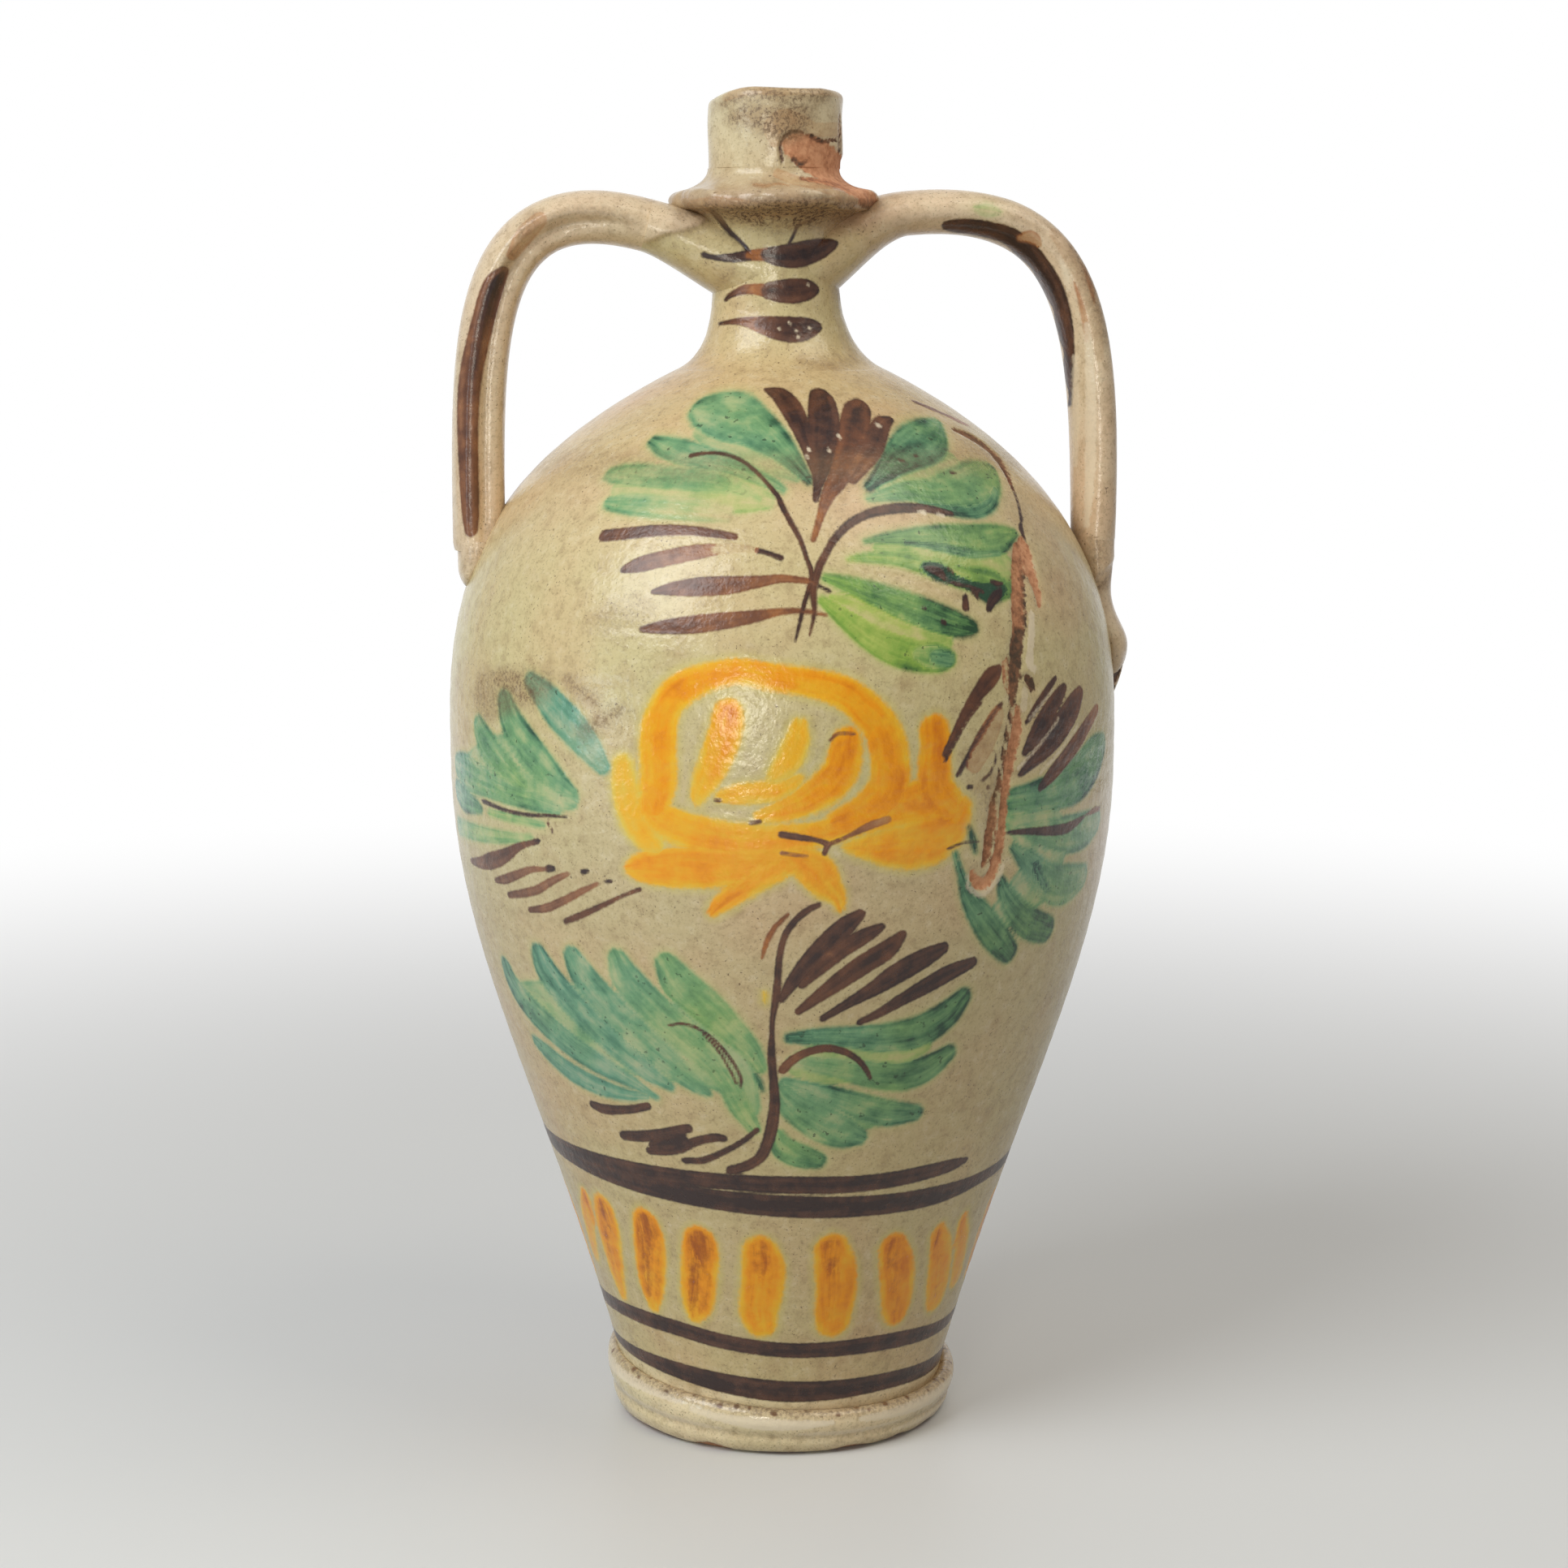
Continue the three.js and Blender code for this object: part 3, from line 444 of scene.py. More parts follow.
orange_strokes = [
    # Flower: outer left petal, lower petals, right-hand petals, bottom sweep, ring and inner petals
    (0.36, 0.34, 0, ((-25.6, 213.6, 7), (-25.4, 208, 8.6), (-24.6, 202, 9.2), (-23.4, 197, 8.8),
        (-21, 193, 8))),
    (0.8, 0.58, 0.2, ((-24.6, 185, 4.4), (-22.5, 185.5, 8.6), (-19, 185.8, 11), (-14, 186.2, 12),
        (-8, 187, 11), (-2, 188, 10), (4, 189, 7))),
    (0.95, 0.6, 0.35, ((-11, 174, 3.4), (-9.5, 176.5, 5.4), (-7, 180, 7), (-4, 183.5, 8), (-1, 187, 9))),
    (0.8, 0.55, 0.2, ((9.5, 175.5, 3), (8.8, 178.5, 5.4), (7, 182, 9), (5.4, 186, 10.6), (3, 189, 9))),
    (0.5, 0.72, 0.1, ((10.5, 192.4, 3), (14, 192.2, 8), (19, 191.6, 12.6), (24, 192.6, 14.4), (28, 196, 12),
        (30, 201, 7))),
    (0.75, 0.7, 0.05, ((12, 199.5, 8), (17, 202, 11), (22, 204, 12), (26.5, 203.5, 11))),
    (0.9, 0.75, 0.2, ((25, 223, 9.6), (25.2, 218.5, 9.8), (25, 213, 10.4), (25.4, 207, 11.4),
        (27.4, 203, 10.4))),
    (0.6, 0.68, 0.05, ((-21, 203, 9), (-18.5, 198.8, 10), (-13, 195.8, 10.4), (-7, 194.6, 10),
        (-1, 194.6, 9), (5, 195.8, 7.6), (11, 198.8, 8), (17, 203.5, 11))),
    (0.66, 0.8, 0.05, ((-20.4, 204, 10), (-19.6, 211, 11), (-19.8, 220, 11.2), (-19, 228.5, 10.2),
        (-16.4, 234.6, 9.4), (-12, 238.6, 8), (-7, 240.4, 6.8), (-2, 239, 7.4), (4, 237.4, 7.8),
        (9.5, 234.8, 9), (13.4, 230, 9.8), (16.4, 223.5, 10.6), (17.4, 215, 11.4), (16.8, 207.5, 12),
        (13.4, 202, 10.4), (9, 199.4, 7))),
    (0.66, 0.52, 0.1, ((-8.3, 229, 8.4), (-8.6, 225, 9.4), (-10, 218, 9.2), (-11.8, 211, 7.6),
        (-13, 206.6, 4.6), (-13, 204.6, 2.4))),
    (0.95, 0.7, 0.35, ((-8.2, 229.4, 5), (-8.4, 226.6, 5.6), (-9, 223, 4))),
    (0.48, 0.42, 0, ((2.8, 225.6, 5), (2.4, 221.2, 7.4), (1, 216.4, 7.8), (-1, 212.4, 5))),
    (0.6, 0.48, 0, ((-9.5, 206.5, 3.4), (-6, 207.3, 5.8), (-2, 207.9, 6.4), (1, 209.4, 5),
        (2.8, 211.4, 3))),
    (0.88, 0.66, 0.2, ((10.4, 221.6, 8), (10.1, 218, 9.8), (9.2, 213.2, 10.4), (6.8, 208.5, 10.2),
        (3.3, 204.8, 8.2), (-0.5, 202.3, 5.8), (-3.5, 201, 3))),
    (0.6, 0.4, 0, ((-2.8, 150.5, 1.2), (-2.7, 148, 1.2))),
]
# The uprights between the bands, traced at the front and as even as a hand makes them round the back
uprights = [
    (0.75, 0.6, 0.3, ((-60, 74, 6), (-64, 66, 8), (-68, 54, 6))),
    (0.85, 0.7, 0.4, ((-51.5, 73, 10), (-52.5, 68, 12), (-54, 60, 11), (-55.5, 50, 7.5), (-55.6, 44, 4))),
    (0.9, 0.75, 0.6, ((-36.3, 72.5, 10), (-36.6, 68, 12), (-38, 60, 12), (-40, 51, 9.6), (-41.2, 44, 4.4))),
    (0.9, 0.75, 0.6, ((-21, 69.5, 10.4), (-21.4, 65, 12), (-23, 57, 12), (-24.6, 49, 10.4),
        (-26.3, 44, 5.4))),
    (0.8, 0.65, 0.2, ((-5.2, 67.5, 11), (-4.8, 63, 12.8), (-5.2, 56, 12.8), (-6.4, 48, 11.8),
        (-6, 43.6, 9.6))),
    (0.85, 0.8, 0.3, ((12.6, 68, 10.6), (14, 62, 12.4), (15, 54, 12.4), (15, 47, 11.4), (15, 43.6, 10.4))),
    (0.95, 0.85, 0.3, ((29.4, 66.4, 9.4), (32, 60, 11.8), (34, 52, 12), (35, 46, 10.8), (35.6, 43, 8.4))),
    (0.8, 0.65, 0.3, ((44.5, 67, 6.4), (48, 60, 10), (51, 50, 11), (52.5, 44, 9.4))),
    (0.7, 0.55, 0.3, ((54.5, 68, 5.4), (58.5, 60, 8), (62.5, 48, 8))),
]
for number in range(13):
    turn = 75 + 17 * number
    sway = 1.5 * math.sin(2.3 * number)
    uprights.append((0.80, 0.70, 0.40, (
        (turn + sway, 68 + sway, 9), (turn + 1, 60, 12), (turn + 1.5 - sway, 48, 9.6),
    )))
orange_strokes += uprights
for start, finish, hue, line in uprights:
    pressed = tuple((degrees - 1, height + 1, 0.45 * width) for degrees, height, width in line)
    orange_strokes.append((start + 0.1, finish, 0.40 + 0.7 * hue, pressed))
    degrees, height, width = line[0]
    orange_strokes.append((1, 1, 0.55 + 0.5 * hue, (
        (degrees, height + 1.5, 0.75 * width),
        (degrees, height - 3, 0.7 * width),
        (degrees, height - 8, 0.3 * width),
    )))

# Wear is laid on in strokes too, without a hue, and so are painted highlights and painted shade. Where the
# glaze has come away from the clay, the load is how dark the clay has gone.
bare_clay = [
    # Knocks on the back
    (0.2, 0.3, ((127, 206.4, 0.9), (128.4, 205.6, 2.2), (130, 204.6, 1.2))),
    (0.3, 0.2, ((-121, 250.6, 0.8), (-119.6, 249.6, 1.9), (-118.6, 248, 1))),
    (0.45, 0.35, ((164, 120, 0.8), (165, 119, 1.6), (165.6, 117.6, 0.8))),
    # The long scar at the right, with the rust above it
    (0.62, 0.7, ((59.4, 302.2, 1), (63, 300.6, 2.6), (66.4, 298.4, 4), (67.8, 295.2, 4.6),
        (65.8, 291.6, 3.2), (63, 288, 1.6), (61, 285.4, 0.8))),
    (0.95, 0.9, ((65.2, 299.4, 0.9), (68.4, 296.4, 2), (67.2, 293.2, 2), (65, 290.4, 1))),
    (0.4, 0.35, ((51.6, 272.4, 1), (50.6, 270.6, 1.6))),
    (0.12, 0.22, ((52.8, 272, 2.4), (52, 269.4, 5), (51.2, 265.6, 4.8), (51.1, 261, 4), (51.2, 257, 2.8),
        (50.6, 254.4, 1.6))),
    (0.3, 0.4, ((49.8, 270.4, 2.4), (47.8, 265, 4.6), (45.8, 258.4, 5), (44.4, 252.4, 5),
        (43.6, 247.6, 4.6))),
    (0.85, 0.95, ((51, 271.6, 0.9), (49.4, 265.6, 0.9), (47.6, 258.6, 1.1), (46, 251.4, 1.3),
        (44.9, 247, 1.4))),
    (0.8, 0.8, ((44.4, 262.6, 0.6), (49, 262.2, 0.6))),
    (0.8, 0.8, ((43.2, 253.6, 0.6), (47, 253.4, 0.7))),
    (0.95, 0.8, ((43.6, 247.6, 3.6), (42.6, 243.6, 5.4), (42, 239.4, 4.8), (41.2, 234, 3.8),
        (40.4, 228.6, 2.2))),
    (0.35, 0.3, ((39.6, 241, 1.4), (39.3, 237, 1.8), (39.6, 232, 1.2))),
    (0.85, 0.85, ((44, 235.8, 1.8), (45, 233.8, 3.2), (45.6, 231.5, 1.8))),
    (0.28, 0.34, ((41.6, 227, 2), (41.4, 221.6, 4), (40.2, 215, 4), (39.2, 208, 3.4), (38.7, 202, 3),
        (38.3, 195, 3), (38, 189, 3.4), (37.4, 184.6, 3.6))),
    (0.12, 0.1, ((37.6, 184.4, 3.2), (36.4, 180.4, 3.6), (34.8, 178.6, 3.6), (33.2, 180.2, 2.8),
        (32.6, 182.6, 1.8))),
    (0.9, 0.8, ((40.2, 228, 1), (38.9, 219.6, 1.2), (38, 213, 1.2), (37.4, 207, 1.6), (36.4, 202.6, 1.6))),
    (0.5, 0.55, ((36.2, 203, 1.8), (36.2, 198, 3), (35.6, 192, 3.2), (35.3, 187, 2.6), (34.8, 184, 1.6))),
]
pale_scar = [
    (0.75, 0.7, ((47.8, 252.4, 2.2), (46.9, 247.6, 2.6), (45.6, 242, 2.8), (45.4, 239, 3),
        (46.4, 236.8, 1.6))),
    (0.45, 0.45, ((43.4, 231.6, 2.6), (43, 227, 2.4))),
    (0.55, 0.55, ((38.9, 183, 1.6), (37.8, 179, 1.8), (35, 175.8, 2), (32.4, 178, 1.6),
        (31.6, 181.6, 1.2))),
    (0.6, 0.6, ((52, 222.6, 0.9), (46.6, 216, 0.9), (41.6, 210.4, 0.9))),
    (0.6, 0.6, ((58, 219.4, 0.9), (52, 213, 0.9), (47, 208, 0.9))),
    (0.55, 0.55, ((50.6, 231, 0.8), (47, 227, 0.8), (44, 223.6, 0.8))),
    # Burst bubbles in the brown
    (0.8, 0.8, ((7, 298.5, 0.8), (7.1, 298.1, 0.8))),
    (0.7, 0.7, ((6.3, 296.5, 0.7), (6.4, 296.1, 0.7))),
    (0.7, 0.7, ((12.2, 298.2, 0.8), (12.3, 297.8, 0.8))),
    (0.7, 0.7, ((16, 301.8, 0.8), (16.1, 301.3, 0.8))),
    (0.8, 0.8, ((29.8, 304.4, 0.9), (30.4, 304.2, 0.9))),
    (0.9, 0.9, ((28.8, 281.3, 1.1), (30.2, 281.3, 1.1))),
    (0.8, 0.8, ((33.2, 280.4, 0.9), (34, 280.2, 0.9))),
]
grime = [
    (0.6, 0.55, ((-58, 228, 14), (-50, 231, 12), (-42, 234, 8))),
    (0.9, 0.8, ((-54, 234, 5), (-49, 233, 7), (-44, 230, 5))),
    (0.8, 0.7, ((-37, 236, 2), (-34, 233, 3.4), (-31, 231, 2))),
    (0.7, 0.7, ((-33, 222, 3), (-29, 226, 4), (-26, 229, 2.4))),
    (0.3, 0.3, ((-30, 253, 10), (-24, 256, 8))),
    (0.45, 0.35, ((138, 236, 8), (150, 231, 13), (163, 233, 9))),
    (0.4, 0.3, ((-158, 172, 6), (-149, 177, 10), (-141, 175, 6))),
    (0.35, 0.3, ((176, 296, 5), (-172, 290, 8), (-166, 282, 5))),
    (0.4, 0.3, ((104, 150, 5), (112, 146, 9), (120, 148, 5))),
    (0.35, 0.35, ((66, 299, 6), (58, 297, 4))),
    (0.4, 0.4, ((35, 207, 8), (36, 198, 6))),
]


def brush_line(points):
    """A smooth line through a stroke's points."""
    knots = np.array(points, float)
    knots = np.vstack((2 * knots[0] - knots[1], knots, 2 * knots[-1] - knots[-2]))
    spans = []
    for before, start, end, after in zip(knots, knots[1:], knots[2:], knots[3:]):
        samples = 6 + round(2.4 * np.linalg.norm(end - start))
        share = np.linspace(0, 1, samples, endpoint=False)[:, None]
        bend = 2 * before - 5 * start + 4 * end - after
        twist = 3 * start - before - 3 * end + after
        spans.append(start + (end - before) * share / 2 + bend * share**2 / 2 + twist * share**3 / 2)
    return np.vstack(spans + [knots[-2:-1]])


def nearest_turn(degrees):
    """An angle brought between half a turn either way."""
    return (degrees + 180) % 360 - 180


def brushed(where, scale, strokes, wetness):
    """How far inside a stroke each vertex is, the load and hue there, and its place along and across it."""
    halo = 5
    far_outside = -9.0
    block_size = 6000
    grain_step = 0.4
    pigment = np.tile((far_outside, 0.0, 0.0), (len(where), 1))
    grain = np.zeros((len(where), 3))
    for number, (load, last_load, *hue, points) in enumerate(strokes):
        tint = hue[0] if hue else 0
        line = brush_line(points)
        middle = (line[:, 0].min() + line[:, 0].max()) / 2
        half = np.ptp(line[:, 0]) / 2
        margin = line[:, 2].max() / 2 + halo
        near = abs(nearest_turn(where[:, 0] - middle)) * scale < half * scale + margin
        near &= where[:, 1] > line[:, 1].min() - margin
        near &= where[:, 1] < line[:, 1].max() + margin
        near = np.flatnonzero(near)
        if not len(near):
            continue
        loads = np.linspace(load, last_load, len(line))
        across_step, up_step = np.gradient(line[:, 0]), np.gradient(line[:, 1])
        for block in np.array_split(near, len(near) // block_size + 1):
            across = nearest_turn(where[block, 0, None] - line[:, 0]) * scale[block, None]
            up = where[block, 1, None] - line[:, 1]
            reach = line[:, 2] / 2 - np.hypot(across, up)
            best = reach.argmax(axis=1)
            rows = np.arange(len(block))
            inside_by = reach[rows, best]
            step = np.column_stack((across_step[best] * scale[block], up_step[best]))
            step /= np.linalg.norm(step, axis=1)[:, None] + 1e-9
            side = across[rows, best] * step[:, 1] - up[rows, best] * step[:, 0]
            side /= line[best, 2] / 2 + 0.2
            before = pigment[block, 0]
            over = np.where(before > 0, np.clip(inside_by / wetness, 0, 1), inside_by > before)
            pigment[block, 0] = np.maximum(before, inside_by)
            fresh = np.column_stack((loads[best], np.full(len(block), tint)))
            pigment[block, 1:] += (fresh - pigment[block, 1:]) * over[:, None]
            place = np.column_stack((best * grain_step, side, np.full(len(block), number)))
            grain[block] = np.where(over[:, None] > 0.5, place, grain[block])
    return pigment, grain


def around(points):
    """Degrees round from the painted front and height of each vertex, and the millimetres in a degree."""
    radius, turn = polar(points)
    degrees = nearest_turn(np.degrees(turn - FRONT))
    return np.column_stack((degrees, points[:, 2])), np.radians(radius)


# How far a stroke of each coat runs into the stroke below it, in millimetres
COATS = dict(green=0.8, brown=0.8, orange=2.2, clay=0.8, pale=0.8, grime=0.8)
# Coats without a hue: bare clay, pale and grime, the last two also carrying painted highlights and painted
# shade
UNHUED_COATS = ("clay", "pale", "grime")


def decorate(piece, where, scale, facing, **coats):
    """Lays the strokes on the piece, coat by coat, as far as it faces the brush, in millimetres."""
    reach = {}
    for coat, wetness in COATS.items():
        pigment, grain = brushed(where, scale, coats.get(coat, ()), wetness)
        pigment[:, 0] = np.minimum(pigment[:, 0], facing)
        layers = {coat: pigment}
        if coat not in UNHUED_COATS:
            layers[coat + "_grain"] = grain
        for name, values in layers.items():
            layer = piece.data.attributes.new(name, "FLOAT_VECTOR", "POINT")
            layer.data.foreach_set("vector", values.astype(np.float32).ravel())
        reach[coat] = pigment[:, 0]
    return reach


def uneven(points):
    """What the hand leaves, in millimetres: an oval turn, throwing ridges and a fuller left shoulder."""
    turn = polar(points)[1]
    height = points[:, 2]
    oval = 0.35 * np.sin(2 * turn + 0.6) * np.sin(height / 60) + 0.25 * np.sin(3 * turn + height / 55)
    ridges = 0.03 * np.sin(height * 0.8 + 1.2 * np.sin(2 * turn)) + 0.01 * np.sin(height * 1.7 + turn)
    shoulder = 1.1 * np.exp(-(((height - 287) / 24) ** 2) - ((turn + 1.5) / 0.6) ** 2)
    return oval + ridges + shoulder


def chipped(reach, depth):
    """How deep the glaze has come away at each vertex, in millimetres."""
    return depth * np.clip(reach["clay"] / 1.2 + 0.3, 0, 1)


# A reach that no stroke comes up to, for pieces that are painted all round
ALL_ROUND = 99
for half in (lower_body, upper_body):
    points = places(half)
    where, scale = around(points)
    reach = decorate(
        half,
        where,
        scale,
        ALL_ROUND,
        green=green_strokes,
        brown=brown_strokes,
        orange=orange_strokes,
        clay=bare_clay,
        pale=pale_scar,
        grime=grime,
    )
    swell = (uneven(points) - chipped(reach, 0.8)) * (polar(points)[0] > EYE_RADIUS + 1)
    settle(half, swollen(points, swell))


class Wash:
    """A value that varies over the glaze: a socket of the material's nodes that takes part in sums."""

    def __init__(self, tree, socket=None):
        self.tree = tree
        self.socket = socket

    def node(self, kind, settings=None, inputs=None, output=0):
        made = self.tree.nodes.new(kind)
        for name, value in (settings or {}).items():
            if name == "stops":
                ramp = made.color_ramp.elements
                while len(ramp) < len(value):
                    ramp.new(0.5)
                for stop, (position, colour) in zip(ramp, value):
                    stop.position = position
                    stop.color = colour
            else:
                setattr(made, name, value)
        for name, value in (inputs or {}).items():
            if isinstance(value, Wash):
                self.tree.links.new(value.socket, made.inputs[name])
            else:
                made.inputs[name].default_value = value
        return Wash(self.tree, made.outputs[output])

    def maths(self, operation, first, second):
        return self.node("ShaderNodeMath", {"operation": operation}, {0: first, 1: second})

    def __add__(self, other):
        return self.maths("ADD", self, other)

    def __radd__(self, other):
        return self.maths("ADD", other, self)

    def __sub__(self, other):
        return self.maths("SUBTRACT", self, other)

    def __rsub__(self, other):
        return self.maths("SUBTRACT", other, self)

    def __mul__(self, other):
        return self.maths("MULTIPLY", self, other)

    def __rmul__(self, other):
        return self.maths("MULTIPLY", other, self)

    def __truediv__(self, other):
        return self.maths("DIVIDE", self, other)

    def fade(self, low, high):
        """0 below low, 1 above high, smooth between."""
        return self.node(
            "ShaderNodeMapRange",
            {"interpolation_type": "SMOOTHSTEP"},
            {"Value": self, "From Min": low, "From Max": high},
        )

    def over(self, under, colour):
        """A colour laid over another by this share."""
        settings = {"data_type": "RGBA", "clamp_factor": True}
        return self.node("ShaderNodeMix", settings, {0: self, 6: under, 7: colour}, output=2)

    def ramp(self, *stops):
        return self.node("ShaderNodeValToRGB", {"stops": stops}, {"Fac": self})

    def parts(self):
        split = self.node("ShaderNodeSeparateXYZ", inputs={0: self}).socket.node
        return [Wash(self.tree, socket) for socket in split.outputs]

    def stretched(self, x, y, z):
        return self.node("ShaderNodeVectorMath", {"operation": "MULTIPLY"}, {0: self, 1: (x, y, z)})

    def noise(self, scale, detail=2.0, roughness=0.5):
        inputs = {"Vector": self, "Scale": scale, "Detail": detail, "Roughness": roughness}
        return self.node("ShaderNodeTexNoise", inputs=inputs)

    def attribute(self, name):
        return self.node("ShaderNodeAttribute", {"attribute_name": name}, output="Vector")

    def rays(self):
        """Whether the ray comes from the camera, off something glossy or through something clear."""
        kinds = ("Is Camera Ray", "Is Glossy Ray", "Is Transmission Ray")
        return [self.node("ShaderNodeLightPath", output=kind) for kind in kinds]


def fired(red, green, blue):
    """A fired colour, from its 0 to 255 screen values."""
    share = [value / 255 for value in (red, green, blue)]
    return tuple(v / 12.92 if v <= 0.04045 else ((v + 0.055) / 1.055) ** 2.4 for v in share) + (1.0,)


# The glaze's colour from foot to rim: paler on the foot, partly as painted light, and darker at the collar's
# edge, partly as painted shade under it
GLAZE_BY_HEIGHT = (
    (0.00, fired(232, 212, 170)), (0.045, fired(236, 218, 178)), (0.055, fired(200, 180, 132)),
    (0.25, fired(200, 180, 134)), (0.45, fired(199, 181, 139)), (0.60, fired(207, 192, 143)),
    (0.72, fired(208, 186, 142)), (0.79, fired(208, 180, 134)), (0.83, fired(206, 189, 142)),
    (0.90, fired(204, 187, 140)), (0.915, fired(180, 152, 126)), (0.94, fired(210, 190, 152)),
    (1.00, fired(222, 208, 174)),
)
YELLOW_GREEN = (
    (0.0, fired(208, 196, 134)), (0.3, fired(174, 190, 96)), (0.55, fired(134, 168, 72)),
    (0.8, fired(90, 128, 60)), (1.0, fired(44, 78, 42)),
)
BLUE_GREEN = (
    (0.0, fired(198, 190, 148)), (0.3, fired(156, 176, 144)), (0.55, fired(106, 156, 128)),
    (0.8, fired(70, 122, 100)), (1.0, fired(30, 70, 60)),
)
RUST_BROWN = (
    (0.0, fired(202, 164, 112)), (0.35, fired(178, 112, 56)), (0.65, fired(128, 76, 44)),
    (1.0, fired(66, 42, 32)),
)
DARK_BROWN = (
    (0.0, fired(188, 154, 122)), (0.35, fired(146, 104, 78)), (0.65, fired(98, 66, 52)),
    (1.0, fired(48, 33, 33)),
)
ORANGE = (
    (0.0, fired(216, 200, 120)), (0.25, fired(226, 192, 72)), (0.5, fired(238, 178, 36)),
    (0.75, fired(238, 152, 14)), (1.0, fired(214, 118, 4)),
)
CLAY = (
    (0.0, fired(216, 156, 116)), (0.3, fired(188, 126, 88)), (0.6, fired(134, 84, 56)),
    (1.0, fired(62, 38, 28)),
)


def majolica(name, polish=0.15):
    """Tin glaze over terracotta, shaded from foot to rim, with its coats, scars, grime and painted
    highlights and shade.
    """
    material = bpy.data.materials.new(name)
    material.use_nodes = True
    shader = material.node_tree.nodes["Principled BSDF"]
    wash = Wash(material.node_tree)
    place = wash.node("ShaderNodeTexCoord", output="Object")

    cloud = place.noise(24, 3)
    blotch = place.noise(120, 2)
    mottle = place.noise(280, 4, 0.65)
    grit = place.noise(1200, 2, 0.6)
    ragged = place.noise(800, 2) - 0.5
    patchy = blotch - 0.5
    grainy = mottle - 0.5
    share = place.parts()[2] / (rim_height * MM)
    colour = (share + 0.05 * (cloud - 0.5)).ramp(*GLAZE_BY_HEIGHT)
    blush = wash.attribute("blush").parts()[0]
    colour = blush.over(colour, fired(222, 198, 166))
    colour = ((cloud - 0.5) * 1.9).over(colour, fired(208, 166, 128))
    colour = ((0.5 - cloud) * 1.6).over(colour, fired(192, 184, 134))
    colour = ((blotch - 0.53) * 1.5).over(colour, fired(172, 140, 102))
    colour = ((mottle - 0.52) * 2.2).over(colour, fired(146, 120, 84))
    colour = ((0.46 - mottle) * 1.7).over(colour, fired(232, 220, 188))
    colour = ((grit - 0.54) * 1.9).over(colour, fired(120, 96, 62))
    speck = place.noise(1300, 1).fade(0.68, 0.75) * place.noise(95).fade(0.38, 0.58)
    colour = (speck * 0.7).over(colour, fired(84, 62, 42))

    def coat(pigment):
        streaks = wash.attribute(pigment + "_grain").stretched(0.05, 1.9, 5.3).noise(1.0, 3, 0.55)
        return (*wash.attribute(pigment).parts(), streaks)

    def wear(kind):
        return wash.attribute(kind).parts()[:2]

    reach, load, hue, streaks = coat("orange")
    bloom = (reach + 1.6 * ragged + 2 * patchy).fade(-2.8, 0.6) * load.fade(0.0, 0.3)
    colour = (bloom * 0.7).over(colour, fired(206, 190, 112))
    thick = reach.fade(0.2, 2.6)
    density = load * (0.3 + 0.85 * streaks) + 0.5 * patchy + 0.4 * grainy + 0.2 * thick - 0.02
    cover = (reach + 1.2 * ragged + 1.2 * (streaks - 0.5)).fade(-0.8, 0.8)
    colour = cover.over(colour, density.ramp(*ORANGE))
    core = reach.fade(0.6, 2.6) * (hue + 0.8 * grainy + 0.7 * (streaks - 0.5)).fade(0.5, 1.1)
    colour = (core * 0.9).over(colour, fired(146, 74, 6))
    orange_cover = reach.fade(-0.4, 0.4)

    reach, load, hue, streaks = coat("green")
    bloom = (reach + ragged).fade(-3.0, 0.5) * load.fade(0.0, 0.5)
    colour = (bloom * 0.4).over(colour, fired(194, 192, 128))
    pool = reach.fade(-0.2, 0.5) * (1 - reach.fade(0.6, 2.0))
    density = load * (0.2 + 1.5 * streaks) + 0.12 * pool + 0.75 * patchy + 0.5 * grainy
    tone = (hue + 1.2 * (cloud - 0.5)).over(density.ramp(*YELLOW_GREEN), density.ramp(*BLUE_GREEN))
    cover = (reach + 0.8 * ragged + 0.8 * (streaks - 0.5)).fade(-0.9, 0.8)
    cover = cover * (load + 0.4 * (streaks - 0.5)).fade(-0.05, 0.35)
    colour = cover.over(colour, tone)
    fleck = cover * place.noise(520, 2).fade(0.65, 0.72) * load.fade(0.2, 0.6)
    colour = (fleck * 0.65).over(colour, fired(34, 52, 38))

    reach, load, hue, streaks = coat("brown")
    pool = 1 - reach.fade(0.0, 0.9)
    density = load * (0.62 + 0.55 * streaks) + 0.12 * pool + 0.5 * patchy + 0.6 * grainy
    density = density + 0.12 * reach.fade(1.2, 2.6)
    darkness = hue + 0.5 * (0.5 - streaks) - 0.25 * pool
    tone = darkness.over(density.ramp(*RUST_BROWN), density.ramp(*DARK_BROWN))
    brown_cover = (reach + 0.5 * ragged + 0.3 * (streaks - 0.5)).fade(-0.45, 0.3) * load.fade(0.0, 0.4)
    colour = brown_cover.over(colour, tone)

    # The pale coat: pale chips and burst bubbles, and painted highlights and glints on the foot, straps and
    # neck
    reach, load = wear("pale")
    colour = ((reach + 1.4 * ragged).fade(-0.5, 0.4) * load).over(colour, fired(234, 218, 190))
    reach, load = wear("clay")
    bare = (reach + 1.9 * ragged).fade(-0.4, 0.4)
    tone = (load + 0.8 * ragged + 1.1 * grainy).ramp(*CLAY)
    colour = (bare * 0.94).over(colour, tone)
    # The grime coat: dirt, and painted shade under the collar's edge and where the straps meet the body
    reach, load = wear("grime")
    soil_and_shade = reach.fade(-3, 2.5) * load
    colour = (soil_and_shade * 0.55).over(colour, fired(158, 124, 86))
    soil_and_shade = soil_and_shade * place.noise(900, 3, 0.75).fade(0.42, 0.62)
    colour = (soil_and_shade * 0.75).over(colour, fired(92, 68, 46))

